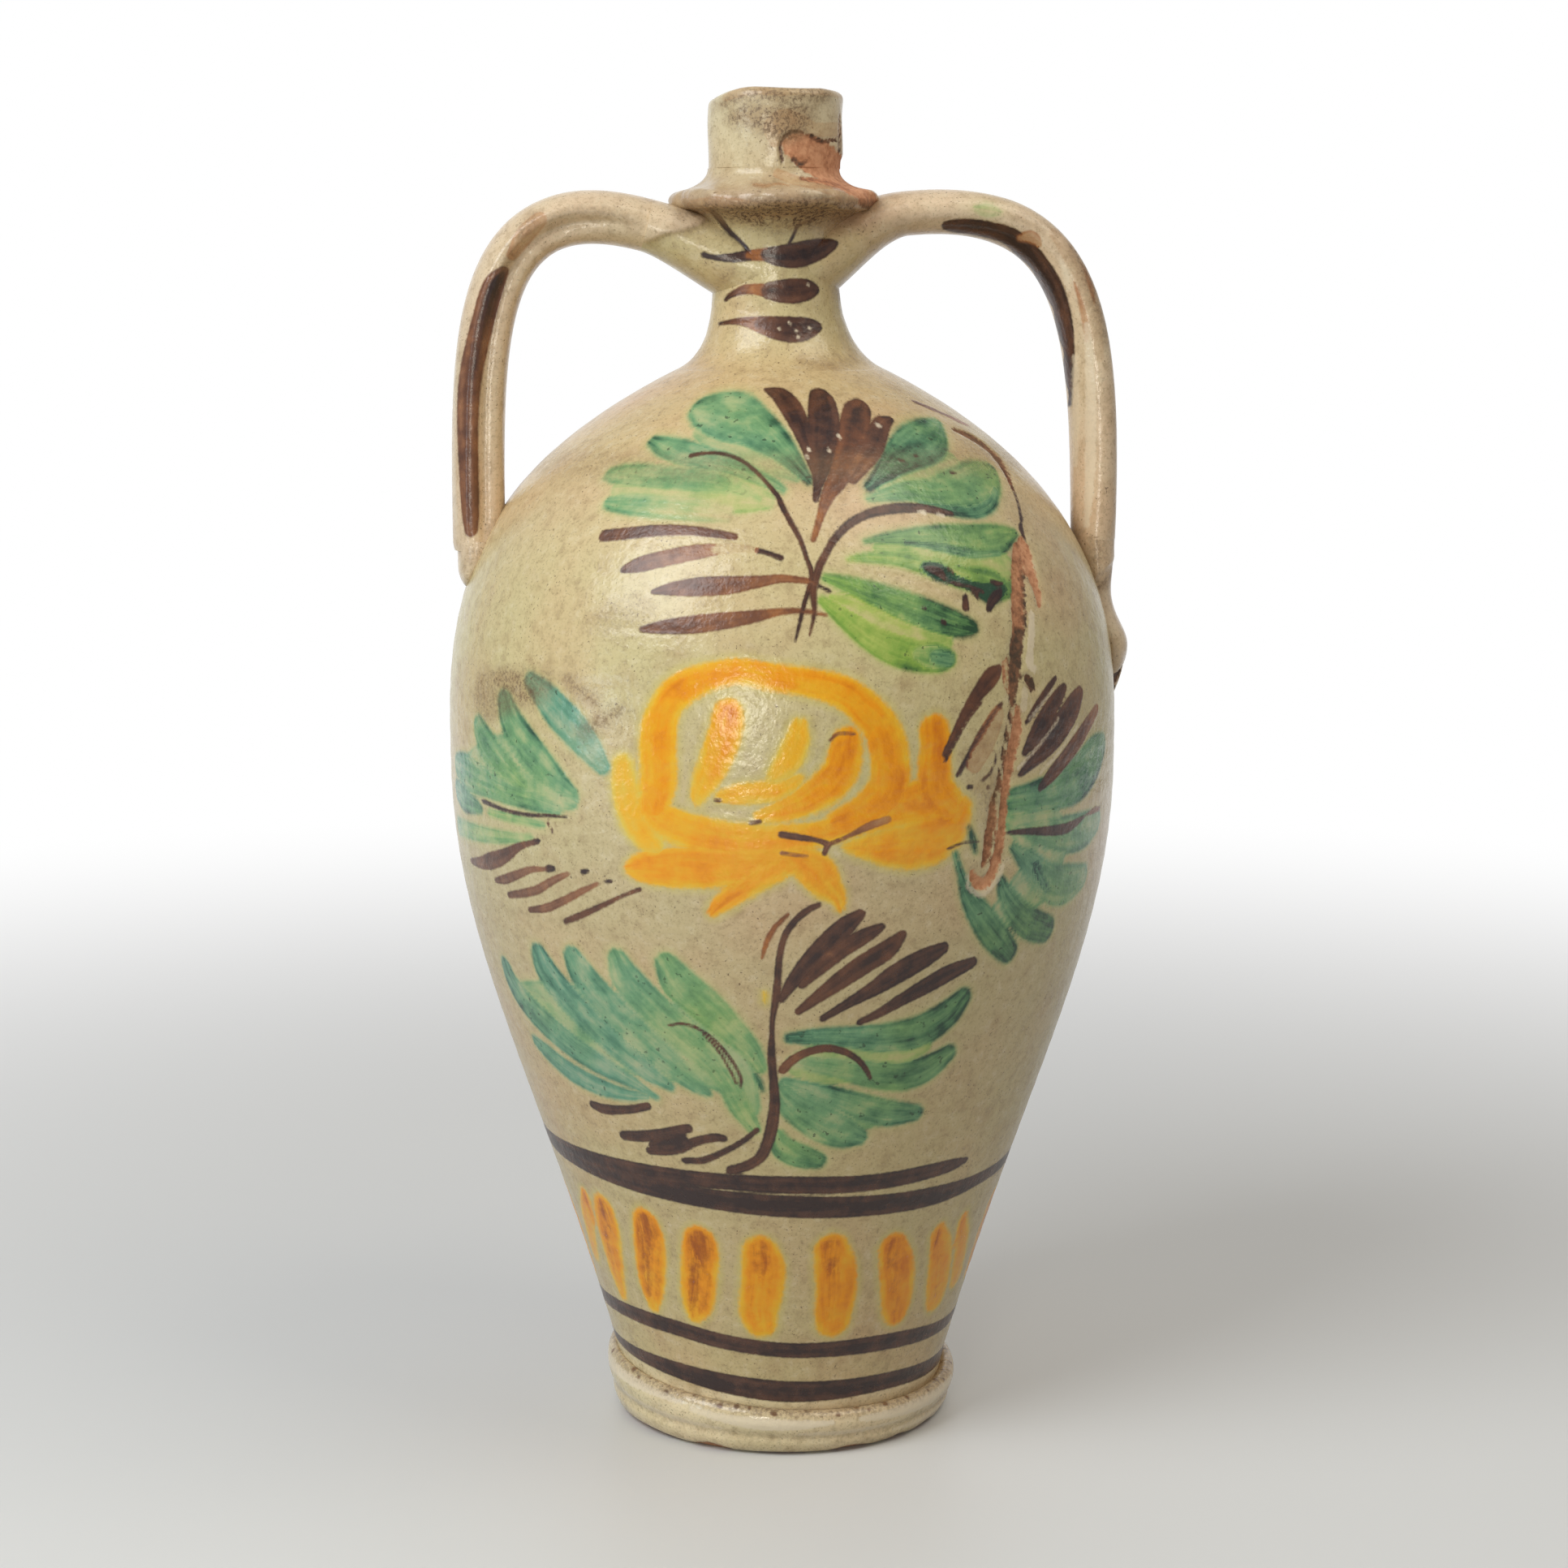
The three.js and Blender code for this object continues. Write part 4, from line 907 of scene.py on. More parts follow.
    wash.tree.links.new(colour.socket, shader.inputs["Base Color"])
    gloss = polish + 0.18 * mottle + 0.05 * brown_cover + 0.5 * bare + 0.3 * soil_and_shade
    wash.tree.links.new(gloss.socket, shader.inputs["Roughness"])
    throwing = place.stretched(30, 30, 150).noise(1.0, 3)
    relief = 0.9 * place.noise(560, 2) + 1.6 * place.noise(190, 3, 0.6) + 0.5 * throwing
    relief = relief + 0.15 * orange_cover + 0.2 * brown_cover + bare * (place.noise(420, 3, 0.7) - 0.9)
    bumped = wash.node("ShaderNodeBump", inputs={"Strength": 0.4, "Distance": 0.4 * MM, "Height": relief})
    wash.tree.links.new(bumped.socket, shader.inputs["Normal"])
    return material


body_glaze = majolica("body_glaze")
lower_body.data.materials.append(body_glaze)
upper_body.data.materials.append(body_glaze)

# The foot: a ring turned on the wheel and luted under the body, a little askew, with a rolled upper edge.
# Its sole is worn and nicked, dirt has settled in the groove above the roll, and highlights are painted on
# the roll.
SOLE_RADIUS = 48
FOOT_BORE = 33
RECESS_DEPTH = 7
GROOVE_HEIGHT = 17
MEAN_GROOVE = 16.6
SEAT_HEIGHT = 13
FOOT_CELL = 0.6
FOOT_STEPS = 360
FOOT_TILT = 3
FOOT_DIP = 2
FOOT_POLISH = 0.04

foot_outline = brush_line((
    (SOLE_RADIUS, 0), (50.6, 1.4), (52.2, 4.6), (52.2, 7), (53.3, 9.4), (54, 12.4),
    (53.6, 15.2), (52.2, 16.9), (51, GROOVE_HEIGHT), (50, 16),
))
foot = thrown(
    "foot_roll",
    "foot_ring",
    np.vstack((
        (FOOT_BORE, 0),
        evenly(foot_outline, FOOT_CELL),
        (SOLE_RADIUS, SEAT_HEIGHT),
        (SOLE_RADIUS, RECESS_DEPTH),
        (FOOT_BORE, RECESS_DEPTH),
    )),
    FOOT_STEPS,
    closed=True,
)
points = places(foot)
where, scale = around(points)
nicks = [
    (0.3, 0.45, ((-75, 1, 1.6), (-60, 0.6, 1.8), (-52, 0.4, 2.4), (-40, 0.2, 1.2))),
    (0.3, 0.35, ((18, 0.4, 1.4), (24, 1, 2.6), (31, 0.4, 1.2))),
    (0.3, 0.35, ((40, 0.6, 1.2), (44, 1.2, 2), (48, 0.5, 1.2))),
    (0.35, 0.35, ((-8, 0, 1), (0, 0.2, 1.2), (8, 0, 1))),
    (0.35, 0.45, ((-31, 0.6, 1.2), (-25, 1.3, 2.4), (-18, 0.6, 1.2))),
    (0.35, 0.45, ((54, 0.8, 1.2), (60, 1.4, 2.2), (65, 0.8, 1))),
    (0.35, 0.45, ((110, 0.6, 1.2), (118, 1.2, 2.4), (124, 0.6, 1))),
    (0.35, 0.45, ((-150, 0.6, 1.2), (-142, 1.2, 2.2), (-134, 0.6, 1))),
]
groove_dirt = [
    (1, 1, ((180, 17, 1.6), (90, 17, 1.8), (40, 17, 2.6), (0, 17, 3), (-50, 17, 2.4), (-90, 17, 1.6),
        (-180, 17, 1.6))),
    (0.35, 0.35, ((180, 7, 1), (60, 7, 1.6), (0, 7, 2), (-60, 7, 1.6), (-180, 7, 1))),
    (0.35, 0.35, ((180, 2, 1), (60, 2, 1.6), (0, 2, 2), (-60, 2, 1.6), (-180, 2, 1))),
]
# Painted highlights along the roll, laid on in the pale coat
roll_painted_highlights = [
    (0.8, 0.9, ((-95, 13, 1.8), (-80, 13.6, 3), (-62, 14.2, 3), (-46, 14.6, 2), (-34, 14.6, 1.4))),
    (0.7, 0.9, ((-30, 13.4, 1.6), (-18, 12.6, 3), (-6, 12.2, 4.4), (6, 12.6, 3.4), (16, 13.2, 1.6))),
    (0.8, 1, ((26, 13.4, 2), (44, 13.2, 4.6), (60, 13, 5), (76, 13, 3))),
    (0.6, 0.7, ((40, 5.4, 1), (56, 5, 2.4), (72, 5.4, 1.4))),
    (0.5, 0.5, ((-66, 8.8, 1), (-44, 8.4, 2), (-20, 8.6, 1))),
    (0.5, 0.5, ((6, 8.8, 1), (22, 8.6, 1.8), (40, 9, 0.8))),
]
specks = []
for number in range(46):
    turn = 7.8 * number - 180 + 3 * math.sin(5.1 * number)
    height = MEAN_GROOVE + 0.9 * math.sin(2.7 * number)
    length = 0.6 + 0.5 * math.sin(3.9 * number)
    specks.append((0.80, 0.80, 0.60, ((turn, height, 0.7), (turn + length, height, 0.9 + 0.4 * length))))
reach = decorate(
    foot, where, scale, ALL_ROUND, brown=specks, clay=nicks, pale=roll_painted_highlights, grime=groove_dirt
)
turn = np.radians(where[:, 0])
groove = MEAN_GROOVE - FOOT_TILT * np.sin(turn) - FOOT_DIP * np.cos(turn)
swell = (uneven(points) - chipped(reach, 0.9)) * (polar(points)[0] > SOLE_RADIUS - 0.5)
askew = swollen(points, swell)
askew[:, 2] *= groove / GROOVE_HEIGHT
settle(foot, askew)
foot.data.materials.append(majolica("foot_glaze", FOOT_POLISH))

# The neck: a thrown tube luted on the shoulder, carried up under the collar. Three brown drops are
# brushed across its front, the highest of them over the clay of the handles' roots.
NECK_RADIUS = 18.6
BORE_RADIUS = 13.8
THROAT_RISE = 26
THROAT_PULL = 14
FLARE_PULL = 8
COLLAR_LAP = 4
NECK_CELL = 0.6
NECK_STEPS = 260
# The lean to the left by height, and how it dies away towards the handles
LEAN = ((319, 335, 366, 400), (0, -1.2, -2.2, -1.6))
LEAN_REACH = ((32, 70), (1, 0))

neck_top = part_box("collar")[0].z / MM
throat_height = shoulder_height + THROAT_RISE
neck_end = neck_top + COLLAR_LAP
neck_outline = np.vstack((
    bow(
        (SHOULDER_RADIUS, shoulder_height),
        (
            SHOULDER_RADIUS - FLARE_PULL * math.cos(SHOULDER_SLOPE),
            shoulder_height + FLARE_PULL * math.sin(SHOULDER_SLOPE),
        ),
        (NECK_RADIUS, throat_height - THROAT_PULL),
        (NECK_RADIUS, throat_height),
    ),
    (NECK_RADIUS, neck_end),
))
neck = thrown(
    "neck_tube",
    "neck",
    np.vstack((evenly(neck_outline, NECK_CELL), (BORE_RADIUS, neck_end), (BORE_RADIUS, shoulder_height))),
    NECK_STEPS,
    closed=True,
)


def leaning(points):
    """The neck and what it carries stand a little to the left of the axis."""
    lean = np.interp(points[:, 2], *LEAN) * np.interp(abs(points[:, 0]), *LEAN_REACH)
    return points + np.column_stack((lean, np.zeros(len(points)), np.zeros(len(points))))


def from_front(points):
    """Millimetres to the right and up as seen from the painted front, and how far forward of the axis."""
    across = points[:, 0] * math.cos(FRONT) + points[:, 1] * math.sin(FRONT)
    forward = points[:, 0] * math.sin(FRONT) - points[:, 1] * math.cos(FRONT)
    return np.column_stack((across, points[:, 2])), np.ones(len(points)), forward


neck_drops = [
    (1, 1, 1, ((-22.6, 352, 1.6), (-19, 351.2, 1.6), (-14, 351.2, 2.8), (-9.5, 351.8, 3.2))),
    (0.45, 0.5, 0, ((-9.5, 351.8, 3), (-6.8, 352, 3.4), (-4.6, 352, 3.8))),
    (0.9, 1, 1, ((-4.4, 352, 4), (0, 351.6, 6.2), (5, 352, 7.4), (10, 353.4, 6.4), (13.6, 354.6, 4.2),
        (15.4, 355.2, 2.2))),
    (1, 0.5, 0.6, ((-16.2, 339, 0.9), (-14.4, 340.6, 1.6), (-11, 342, 2.6), (-8, 342.2, 3))),
    (0.42, 0.55, 0.35, ((-8, 342.2, 3), (-5, 341.9, 3.8))),
    (0.75, 1, 0.85, ((-4, 341.7, 4.6), (0, 341.6, 6.6), (4, 341.7, 7.2), (7, 341.9, 6.2), (9.2, 342, 3.6))),
    (1, 0.5, 0.5, ((-17.6, 332.2, 1), (-14, 332.8, 1.6), (-10.5, 332.8, 2.6), (-7, 332.2, 4.2))),
    (0.7, 1, 0.85, ((-6, 332, 4.8), (-2, 331.2, 6.4), (3, 330.6, 7.4), (7, 330.8, 6.4), (9.8, 331.2, 3.8))),
]
# The joints of the wads have opened in two dark cracks under the collar
cracks = [
    (1, 1, 1, ((-22.4, 365.6, 1.4), (-20.6, 365, 2), (-18.6, 363, 1.9), (-15, 358.6, 1.5),
        (-12, 355.9, 1.1), (-9.4, 353.2, 0.9))),
    (1, 1, 1, ((11.4, 365.4, 0.9), (9.4, 362.2, 0.8), (6.6, 361.2, 0.8), (4.6, 360.2, 1.1), (3.2, 357, 0.8),
        (1.4, 353.8, 0.8))),
]
neck_dirt = [
    (0.6, 0.6, ((-17, 345, 2), (-15, 347, 1.6))),
    (0.9, 0.9, ((18, 341, 3), (19.5, 338.4, 2.4))),
    (0.5, 0.5, ((6, 321, 2), (14, 320.6, 2.4), (20, 321, 1.6))),
]
# Painted glints on the lowest drops, laid on in the pale coat
drop_painted_glints = []
for across, height in ((-0.9, 331), (2.2, 332.4), (4, 330.4), (4.6, 328.6), (8.2, 331), (7.6, 343.4)):
    drop_painted_glints.append((0.80, 0.80, ((across, height, 0.5), (across + 0.4, height - 0.2, 0.5))))
points = leaning(places(neck))
where, scale, forward = from_front(points)
decorate(neck, where, scale, forward + 2, brown=neck_drops + cracks, pale=drop_painted_glints, grime=neck_dirt)
off_the_bore = np.clip((polar(points)[0] - BORE_RADIUS - 1) / 2, 0, 1)
settle(neck, swollen(points, uneven(points) * off_the_bore))
neck_glaze = majolica("neck_glaze")
neck.data.materials.append(neck_glaze)

# The collar: a thrown flange under the mouth that stops drips and hides the handles' roots. Its edge is
# knocked and ragged, most of all at its two ends.
COLLAR_RADIUS = 30.5
COLLAR_EDGE = 5.6
COLLAR_CORNER = 1.9
COLLAR_UNDERCUT = 13
MOUTH_RADIUS = 19.7
COLLAR_STEPS = 300

collar_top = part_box("collar")[1].z / MM
edge_low = neck_top + COLLAR_UNDERCUT
edge_high = edge_low + COLLAR_EDGE
collar_outline = np.vstack((
    bow(
        (NECK_RADIUS, neck_top),
        (NECK_RADIUS, edge_low - COLLAR_CORNER),
        (COLLAR_RADIUS - COLLAR_CORNER, edge_low),
    ),
    bow(
        (COLLAR_RADIUS - COLLAR_CORNER, edge_low),
        (COLLAR_RADIUS + COLLAR_CORNER / 2, edge_low + COLLAR_CORNER / 2),
        (COLLAR_RADIUS + COLLAR_CORNER / 2, edge_high - COLLAR_CORNER / 2),
        (COLLAR_RADIUS - COLLAR_CORNER, edge_high),
    )[1:],
    bow(
        (COLLAR_RADIUS - COLLAR_CORNER, edge_high),
        (MOUTH_RADIUS, edge_high + COLLAR_CORNER),
        (MOUTH_RADIUS, collar_top),
    )[1:],
))
collar = thrown(
    "collar_flange",
    "collar",
    np.vstack((evenly(collar_outline, NECK_CELL), (BORE_RADIUS, collar_top), (BORE_RADIUS, neck_top))),
    COLLAR_STEPS,
    closed=True,
)
mouth_scar = [
    (0.12, 0.18, ((2.6, 383, 5), (5, 382.4, 8), (9, 380.4, 10.4), (13.5, 377.8, 10), (17.4, 374.4, 7),
        (21.5, 371, 4.4), (26.5, 368, 3.2))),
    (0.45, 0.4, ((6, 373.6, 1), (11, 373, 1.8), (16, 372, 2), (20, 370.8, 1.8))),
    (0.85, 0.85, ((3.6, 379, 2.2), (5.6, 377.8, 2.2), (7.4, 378.4, 1.4))),
    (0.9, 0.8, ((0.2, 378.6, 0.9), (-0.4, 382, 1), (1.2, 385.6, 1.3), (5, 386.8, 1.1), (8.6, 385.6, 1.3),
        (12, 384.2, 1.5), (15.6, 385, 1.2))),
    (0.85, 0.85, ((17, 392.4, 0.3), (16.8, 388.4, 0.6), (16.8, 383, 0.5), (17.6, 378, 0.4),
        (19.2, 374.4, 0.5))),
    (0.4, 0.5, ((24, 367.5, 3.2), (27.5, 366, 3.6), (29.5, 365, 3))),
    (0.9, 0.9, ((23.6, 366.6, 1.4), (26.2, 365.2, 1.4))),
]
mouth_rust = [
    (0.16, 0.16, 0.1, ((-2, 384, 3), (-2.4, 388, 5), (1, 390.4, 6), (6, 389, 5), (10, 387.6, 4),
        (16, 388, 4))),
    (0.16, 0.16, 0.2, ((-16, 397.6, 2.4), (-8, 399, 3), (0, 399, 3.4), (8, 399.4, 3), (17, 399, 3))),
    (0.18, 0.14, 0.1, ((-1, 375, 2.6), (4, 373, 3), (10, 371.6, 3.6), (18, 369.4, 4), (24, 366, 4))),
    (0.26, 0.22, 0.5, ((-8, 372, 0.6), (-4.6, 371.4, 1), (-1, 372, 0.6), (2, 371.4, 0.5))),
    (0.15, 0.15, 0.15, ((-27, 364.6, 4), (-22, 366, 4), (-15, 367, 3), (-6, 365, 3.6), (6, 365, 3.6),
        (16, 366.4, 3.4))),
]
collar_dirt_and_shade = [
    (1, 1, ((-28.6, 364.4, 4), (-25, 363.6, 4.6), (-20, 364, 3.4))),
    (0.8, 0.8, ((20, 364.5, 3), (25, 364.6, 3))),
    (0.7, 0.7, ((-8, 372, 1), (-4.6, 371.6, 1.6), (-1, 372, 1))),
    # Painted shade along the collar's lower edge at the front, with dirt
    (1.5, 1.5, ((-21, 365, 2.8), (-12, 364, 5), (-3, 363.4, 7), (6, 363.4, 7), (20, 365, 3.8))),
    (1, 1, ((-29, 366.4, 1.2), (-27, 364.8, 1.8), (-25.4, 362.6, 1.4))),
    (0.9, 0.9, ((0, 366.6, 0.8), (0.6, 364.4, 1), (0.2, 362, 0.8))),
    (0.9, 0.9, ((3.4, 366, 0.7), (3.8, 364, 0.9), (4.4, 362.6, 0.7))),
    # Darker just under the collar at the front: painted shade with dirt specks
    (0.85, 0.85, ((-4, 361.6, 3), (-1, 360.4, 4), (2, 361.6, 3))),
    (1, 1, ((-14, 391, 3), (-9, 391.8, 6), (-3, 390.4, 9), (1.5, 389.4, 10), (5, 391.6, 8))),
    (0.9, 0.9, ((-17, 395.6, 2), (-8, 397.4, 4), (2, 397.4, 6), (12, 398, 4))),
]


def worn_side(points, forward):
    """How far the wear of collar and mouth goes round the side, to a ragged end, in millimetres."""
    return 0.3 * forward + 2.4 + 0.9 * np.sin(0.9 * points[:, 2])


points = leaning(places(collar))
where, scale, forward = from_front(points)
reach = decorate(
    collar,
    where,
    scale,
    worn_side(points, forward),
    brown=neck_drops + cracks + mouth_rust,
    clay=mouth_scar,
    grime=collar_dirt_and_shade,
)
radius, turn = polar(points)
at_edge = np.clip((radius - 22) / 6, 0, 1)
ragged = 0.5 * np.sin(7 * turn + 0.4) + 0.35 * np.sin(13 * turn + points[:, 2]) + 0.3 * np.sin(29 * turn)
knocked = 1.6 * np.exp(-(((turn + 1.35) / 0.16) ** 2)) + 1.1 * np.exp(-(((turn - 1.75) / 0.2) ** 2))
swell = at_edge * (0.5 * ragged - knocked) - chipped(reach, 0.7) * (radius > BORE_RADIUS + 3.2)
wavy = swollen(points, swell)
wavy[:, 2] += 0.35 * at_edge * np.sin(5 * turn + 1)
settle(collar, wavy)
collar.data.materials.append(neck_glaze)

# The mouth: a short thrown spout with a rounded rim, worn down at its left. At the right the glaze has
# broken away in one large flake and shows the red clay.
RIM_ROUNDING = 3
WORN_DEPTH = 14

mouth_outline = np.vstack((
    (MOUTH_RADIUS, collar_top),
    bow(
        (MOUTH_RADIUS, rim_height - RIM_ROUNDING),
        (MOUTH_RADIUS, rim_height),
        (MOUTH_RADIUS - RIM_ROUNDING, rim_height),
    ),
    bow(
        (BORE_RADIUS + RIM_ROUNDING, rim_height),
        (BORE_RADIUS, rim_height),
        (BORE_RADIUS, rim_height - RIM_ROUNDING),
    ),
    (BORE_RADIUS, collar_top),
))
mouth = thrown(
    "mouth_spout", "mouth", evenly(mouth_outline, NECK_CELL), COLLAR_STEPS, closed=True
)
points = leaning(places(mouth))
where, scale, forward = from_front(points)
radius, turn = polar(points)
facing = worn_side(points, forward) - 9 * (radius < BORE_RADIUS + 2.5)
reach = decorate(mouth, where, scale, facing, brown=mouth_rust, clay=mouth_scar, grime=collar_dirt_and_shade)
at_rim = np.clip((points[:, 2] - rim_height + WORN_DEPTH) / WORN_DEPTH, 0, 1) ** 2
worn_left = 2.2 * np.clip((-np.sin(turn) - 0.5) / 0.5, 0, 1) ** 1.8
worn_right = 0.8 * np.clip((np.sin(turn) - 0.6) / 0.4, 0, 1)
ragged = 0.25 * np.sin(5 * turn + points[:, 2] / 4) - chipped(reach, 0.7)
uneven_rim = swollen(points, ragged * (radius > BORE_RADIUS + 2.2))
uneven_rim[:, 2] -= at_rim * (worn_left + worn_right + 0.3 * np.sin(3 * turn + 1) + 0.4)
settle(mouth, uneven_rim)
mouth.data.materials.append(neck_glaze)

# The handles: straps pulled from a lump of wet clay, bent over and pressed on at both ends. A wad of clay
# under the collar roots each one, and another smears its lower end into the shoulder.
ROOT_RISE = -4
ROOT_DEPTH = 30
ROOT_SPREAD = 37
ROOT_FLARE = 1.5
ROOT_BEYOND_COLLAR = 8
ROOT_PULL = 12
CROWN_PULL = 54
LANDING_PULL = 60
LANDING_DROP = 50
BURIED = 3
TAIL_THICKNESS = 3
TAIL_BREADTH = 14
STRAP_SIDES = 96
STRAP_STEPS = 190
WAD_STEPS = 60
LEFT = dict(
    side=-1, name="left", thickness=15.5, breadth=22, stand_off=-5.3, rise=8.7, slope=math.radians(14),
    tail_length=14, pad_breadth=25, pad_swell=0.5, sag=1, turned=0,
)
RIGHT = dict(
    side=1, name="right", thickness=13, breadth=21, stand_off=0.5, rise=12.2, slope=math.radians(6),
    tail_length=52, pad_breadth=32, pad_swell=5, sag=1.6, turned=0.16,
)


def shoulder_radius(height):
    return np.interp(height, upper_outline[:, 1], upper_outline[:, 0])


def pulled(name, node, side, path, steps, section):
    """A bar of clay bent along a path in the handles' plane, with a section of outward and forward sizes."""
    shape = bmesh.new()
    ring = bmesh.ops.create_circle(shape, segments=STRAP_SIDES, radius=1)["verts"]
    rim = list(shape.edges)
    bmesh.ops.spin(shape, geom=ring + rim, angle=0, dvec=(0, 0, 1 / steps), steps=steps, axis=(0, 0, 1))
    bmesh.ops.holes_fill(shape, edges=[edge for edge in shape.edges if edge.is_boundary])
    bar = finished(name, node, shape)
    raw = places(bar) * MM
    share = np.clip(raw[:, 2], 0, 1)
    line = evenly(path, 1)
    stations = np.linspace(0, 1, len(line))
    slope = np.gradient(line, axis=0)
    slope /= np.linalg.norm(slope, axis=1)[:, None]
    centre = np.column_stack([np.interp(share, stations, column) for column in line.T])
    along = np.column_stack([np.interp(share, stations, column) for column in slope.T])
    out, front = section(share, raw[:, 0], -side * raw[:, 1])
    bent = np.column_stack((
        side * (centre[:, 0] - along[:, 1] * out),
        -front,
        centre[:, 1] + along[:, 0] * out,
    ))
    settle(bar, bent)
    return bar


root_dirt = [
    (0.6, 0.6, ((-28, 365, 3), (-22, 365, 2.4))),
    (0.6, 0.5, ((24, 365, 2.4), (30, 366, 2))),
    (0.8, 0.6, ((-19.4, 364, 0.9), (-24.1, 359.9, 0.8), (-28.8, 358.3, 0.7), (-33.5, 357.6, 0.7),
        (-37, 356, 0.7))),
]
strap_dirt = [
    (0.45, 0.45, ((-66, 362, 2), (-56, 365, 2), (-46, 363, 2))),
    (0.7, 0.7, ((-75.5, 358, 2.4), (-73.6, 360.6, 2.4), (-72, 363, 2))),
    (0.55, 0.55, ((-80, 349, 2.6), (-78, 351.4, 2.6))),
    (0.8, 0.7, ((86, 354, 3), (91, 346, 4.4), (94.5, 337, 4.4), (96.5, 327, 2))),
    (0.5, 0.5, ((70, 363, 2), (76, 360, 2.4))),
]
strap_stripes = [
    (0.6, 0.62, 0.75, ((-80.4, 347.4, 2.6), (-83.6, 342.8, 6), (-87.6, 330, 6.4), (-90.6, 317, 6.8),
        (-91.6, 304, 6.4), (-91.5, 291, 5.8), (-91.2, 279, 5.2), (-91, 272.6, 4))),
    (0.95, 0.7, 0.75, ((-80.6, 346.8, 2), (-83.4, 342, 4.6), (-86.4, 332, 4.4), (-88.6, 323, 3.2),
        (-90, 316, 1.6))),
    (0.95, 0.95, 0.9, ((48.3, 360.6, 2.4), (51.9, 360.5, 3.8), (56.6, 360.2, 4.4), (61.9, 359.2, 4.6),
        (66.9, 357.7, 5), (71.6, 354.3, 5.6), (76.2, 349, 5.8), (80.2, 343, 5.6), (82.8, 337, 5),
        (84.5, 331, 4.2), (85.5, 325, 3.4), (86, 318, 2.6), (86.2, 308, 1.6))),
    (0.13, 0.11, 0.35, ((80, 358.6, 2.4), (84, 354, 4.6), (88, 348, 5.4), (91, 340, 5), (93, 331, 3.6),
        (94.4, 322, 2.4))),
    (0.3, 0.4, 0.4, ((88, 350.6, 0.8), (90, 347, 2), (91.6, 342.6, 2.4), (92.6, 338, 1.2))),
    (0.3, 0.2, 0.2, ((86.6, 344, 0.8), (88.4, 339, 1.6), (89.8, 333, 1.8), (90.6, 327, 1))),
    (0.24, 0.2, 0.2, ((-78, 352, 3), (-74, 358, 5), (-70, 362, 4.4))),
    (0.3, 0.26, 0.4, ((70.4, 357, 3), (73.6, 357, 4), (75.4, 355.4, 2.4))),
]
strap_smudge = [
    (0.16, 0.14, 0.6, ((57, 365.6, 2), (60.4, 365, 4.6), (63.6, 364.4, 2.4))),
]
# Painted highlights along the straps, laid on in the pale coat
strap_painted_highlights = [
    (0.6, 0.6, ((82.4, 350, 1), (83.8, 346, 1.5), (84.8, 342, 1))),
    (0.55, 0.8, ((90.2, 332, 1.2), (91.4, 322, 2.4), (92.2, 304, 3), (92.2, 286, 2.6), (91.4, 272, 1.4))),
    (0.5, 0.5, ((87.4, 322, 1.4), (88, 308, 1.8), (88.2, 290, 1.2))),
    (0.4, 0.4, ((-95.6, 322, 1), (-96.6, 306, 1.6), (-96.4, 288, 1.6), (-95.6, 274, 1))),
]
# Painted shade, with dirt, in the seams where the straps' lower ends meet the body
strap_end_dirt_and_shade = [
    (0.6, 0.6, ((-84, 275, 1.2), (-85.4, 268, 1.6))),
    (0.8, 0.8, ((86.6, 273, 2.4), (88, 268, 2.6))),
]
# On the lower wads the places are degrees again
pad_dirt_and_shade = [
    # Painted shade, with dirt, where the straps' ends meet their wads
    (0.6, 0.6, ((-75, 272, 1.2), (-76, 268, 1.6), (-79, 261.5, 1.2))),
    (0.8, 0.8, ((88, 272, 2.4), (89, 268, 2.6), (89.3, 262, 1.6))),
    # Painted shade in the crease along the right strap's cut end
    (1, 1, ((87.6, 252.6, 1.4), (91, 256.4, 2), (95, 260, 1.8), (100, 263, 1.2))),
]
pad_chip = [
    (0.95, 0.95, ((93, 230.4, 1.6), (91, 227.4, 4.6), (90.2, 224.2, 4.2), (91.6, 221.2, 2))),
    (0.5, 0.5, ((94.6, 229.4, 1.2), (94.2, 226, 2.2), (94, 222.6, 1.4))),
]
strap_glaze = majolica("strap_glaze")
# How broad each strap is from its inner to its outer side, and the line of the left root's open seam
RIB = ((-1, -0.9, -0.5, -0.24, -0.15, 0.02, 0.2, 0.45, 1), (1, 1, 0.8, 0.68, 0.68, 0.88, 1, 1.07, 1))
INNER_EDGE = ((-1, -0.85, -0.72, -0.6, -0.3, 1), (1, 0.9, 0.84, 0.95, 1, 1))
SEAM = ((-40, -37, -33.5, -28.8, -24.1, -19.4, -16), (355, 356, 357.6, 358.3, 359.9, 364, 376))

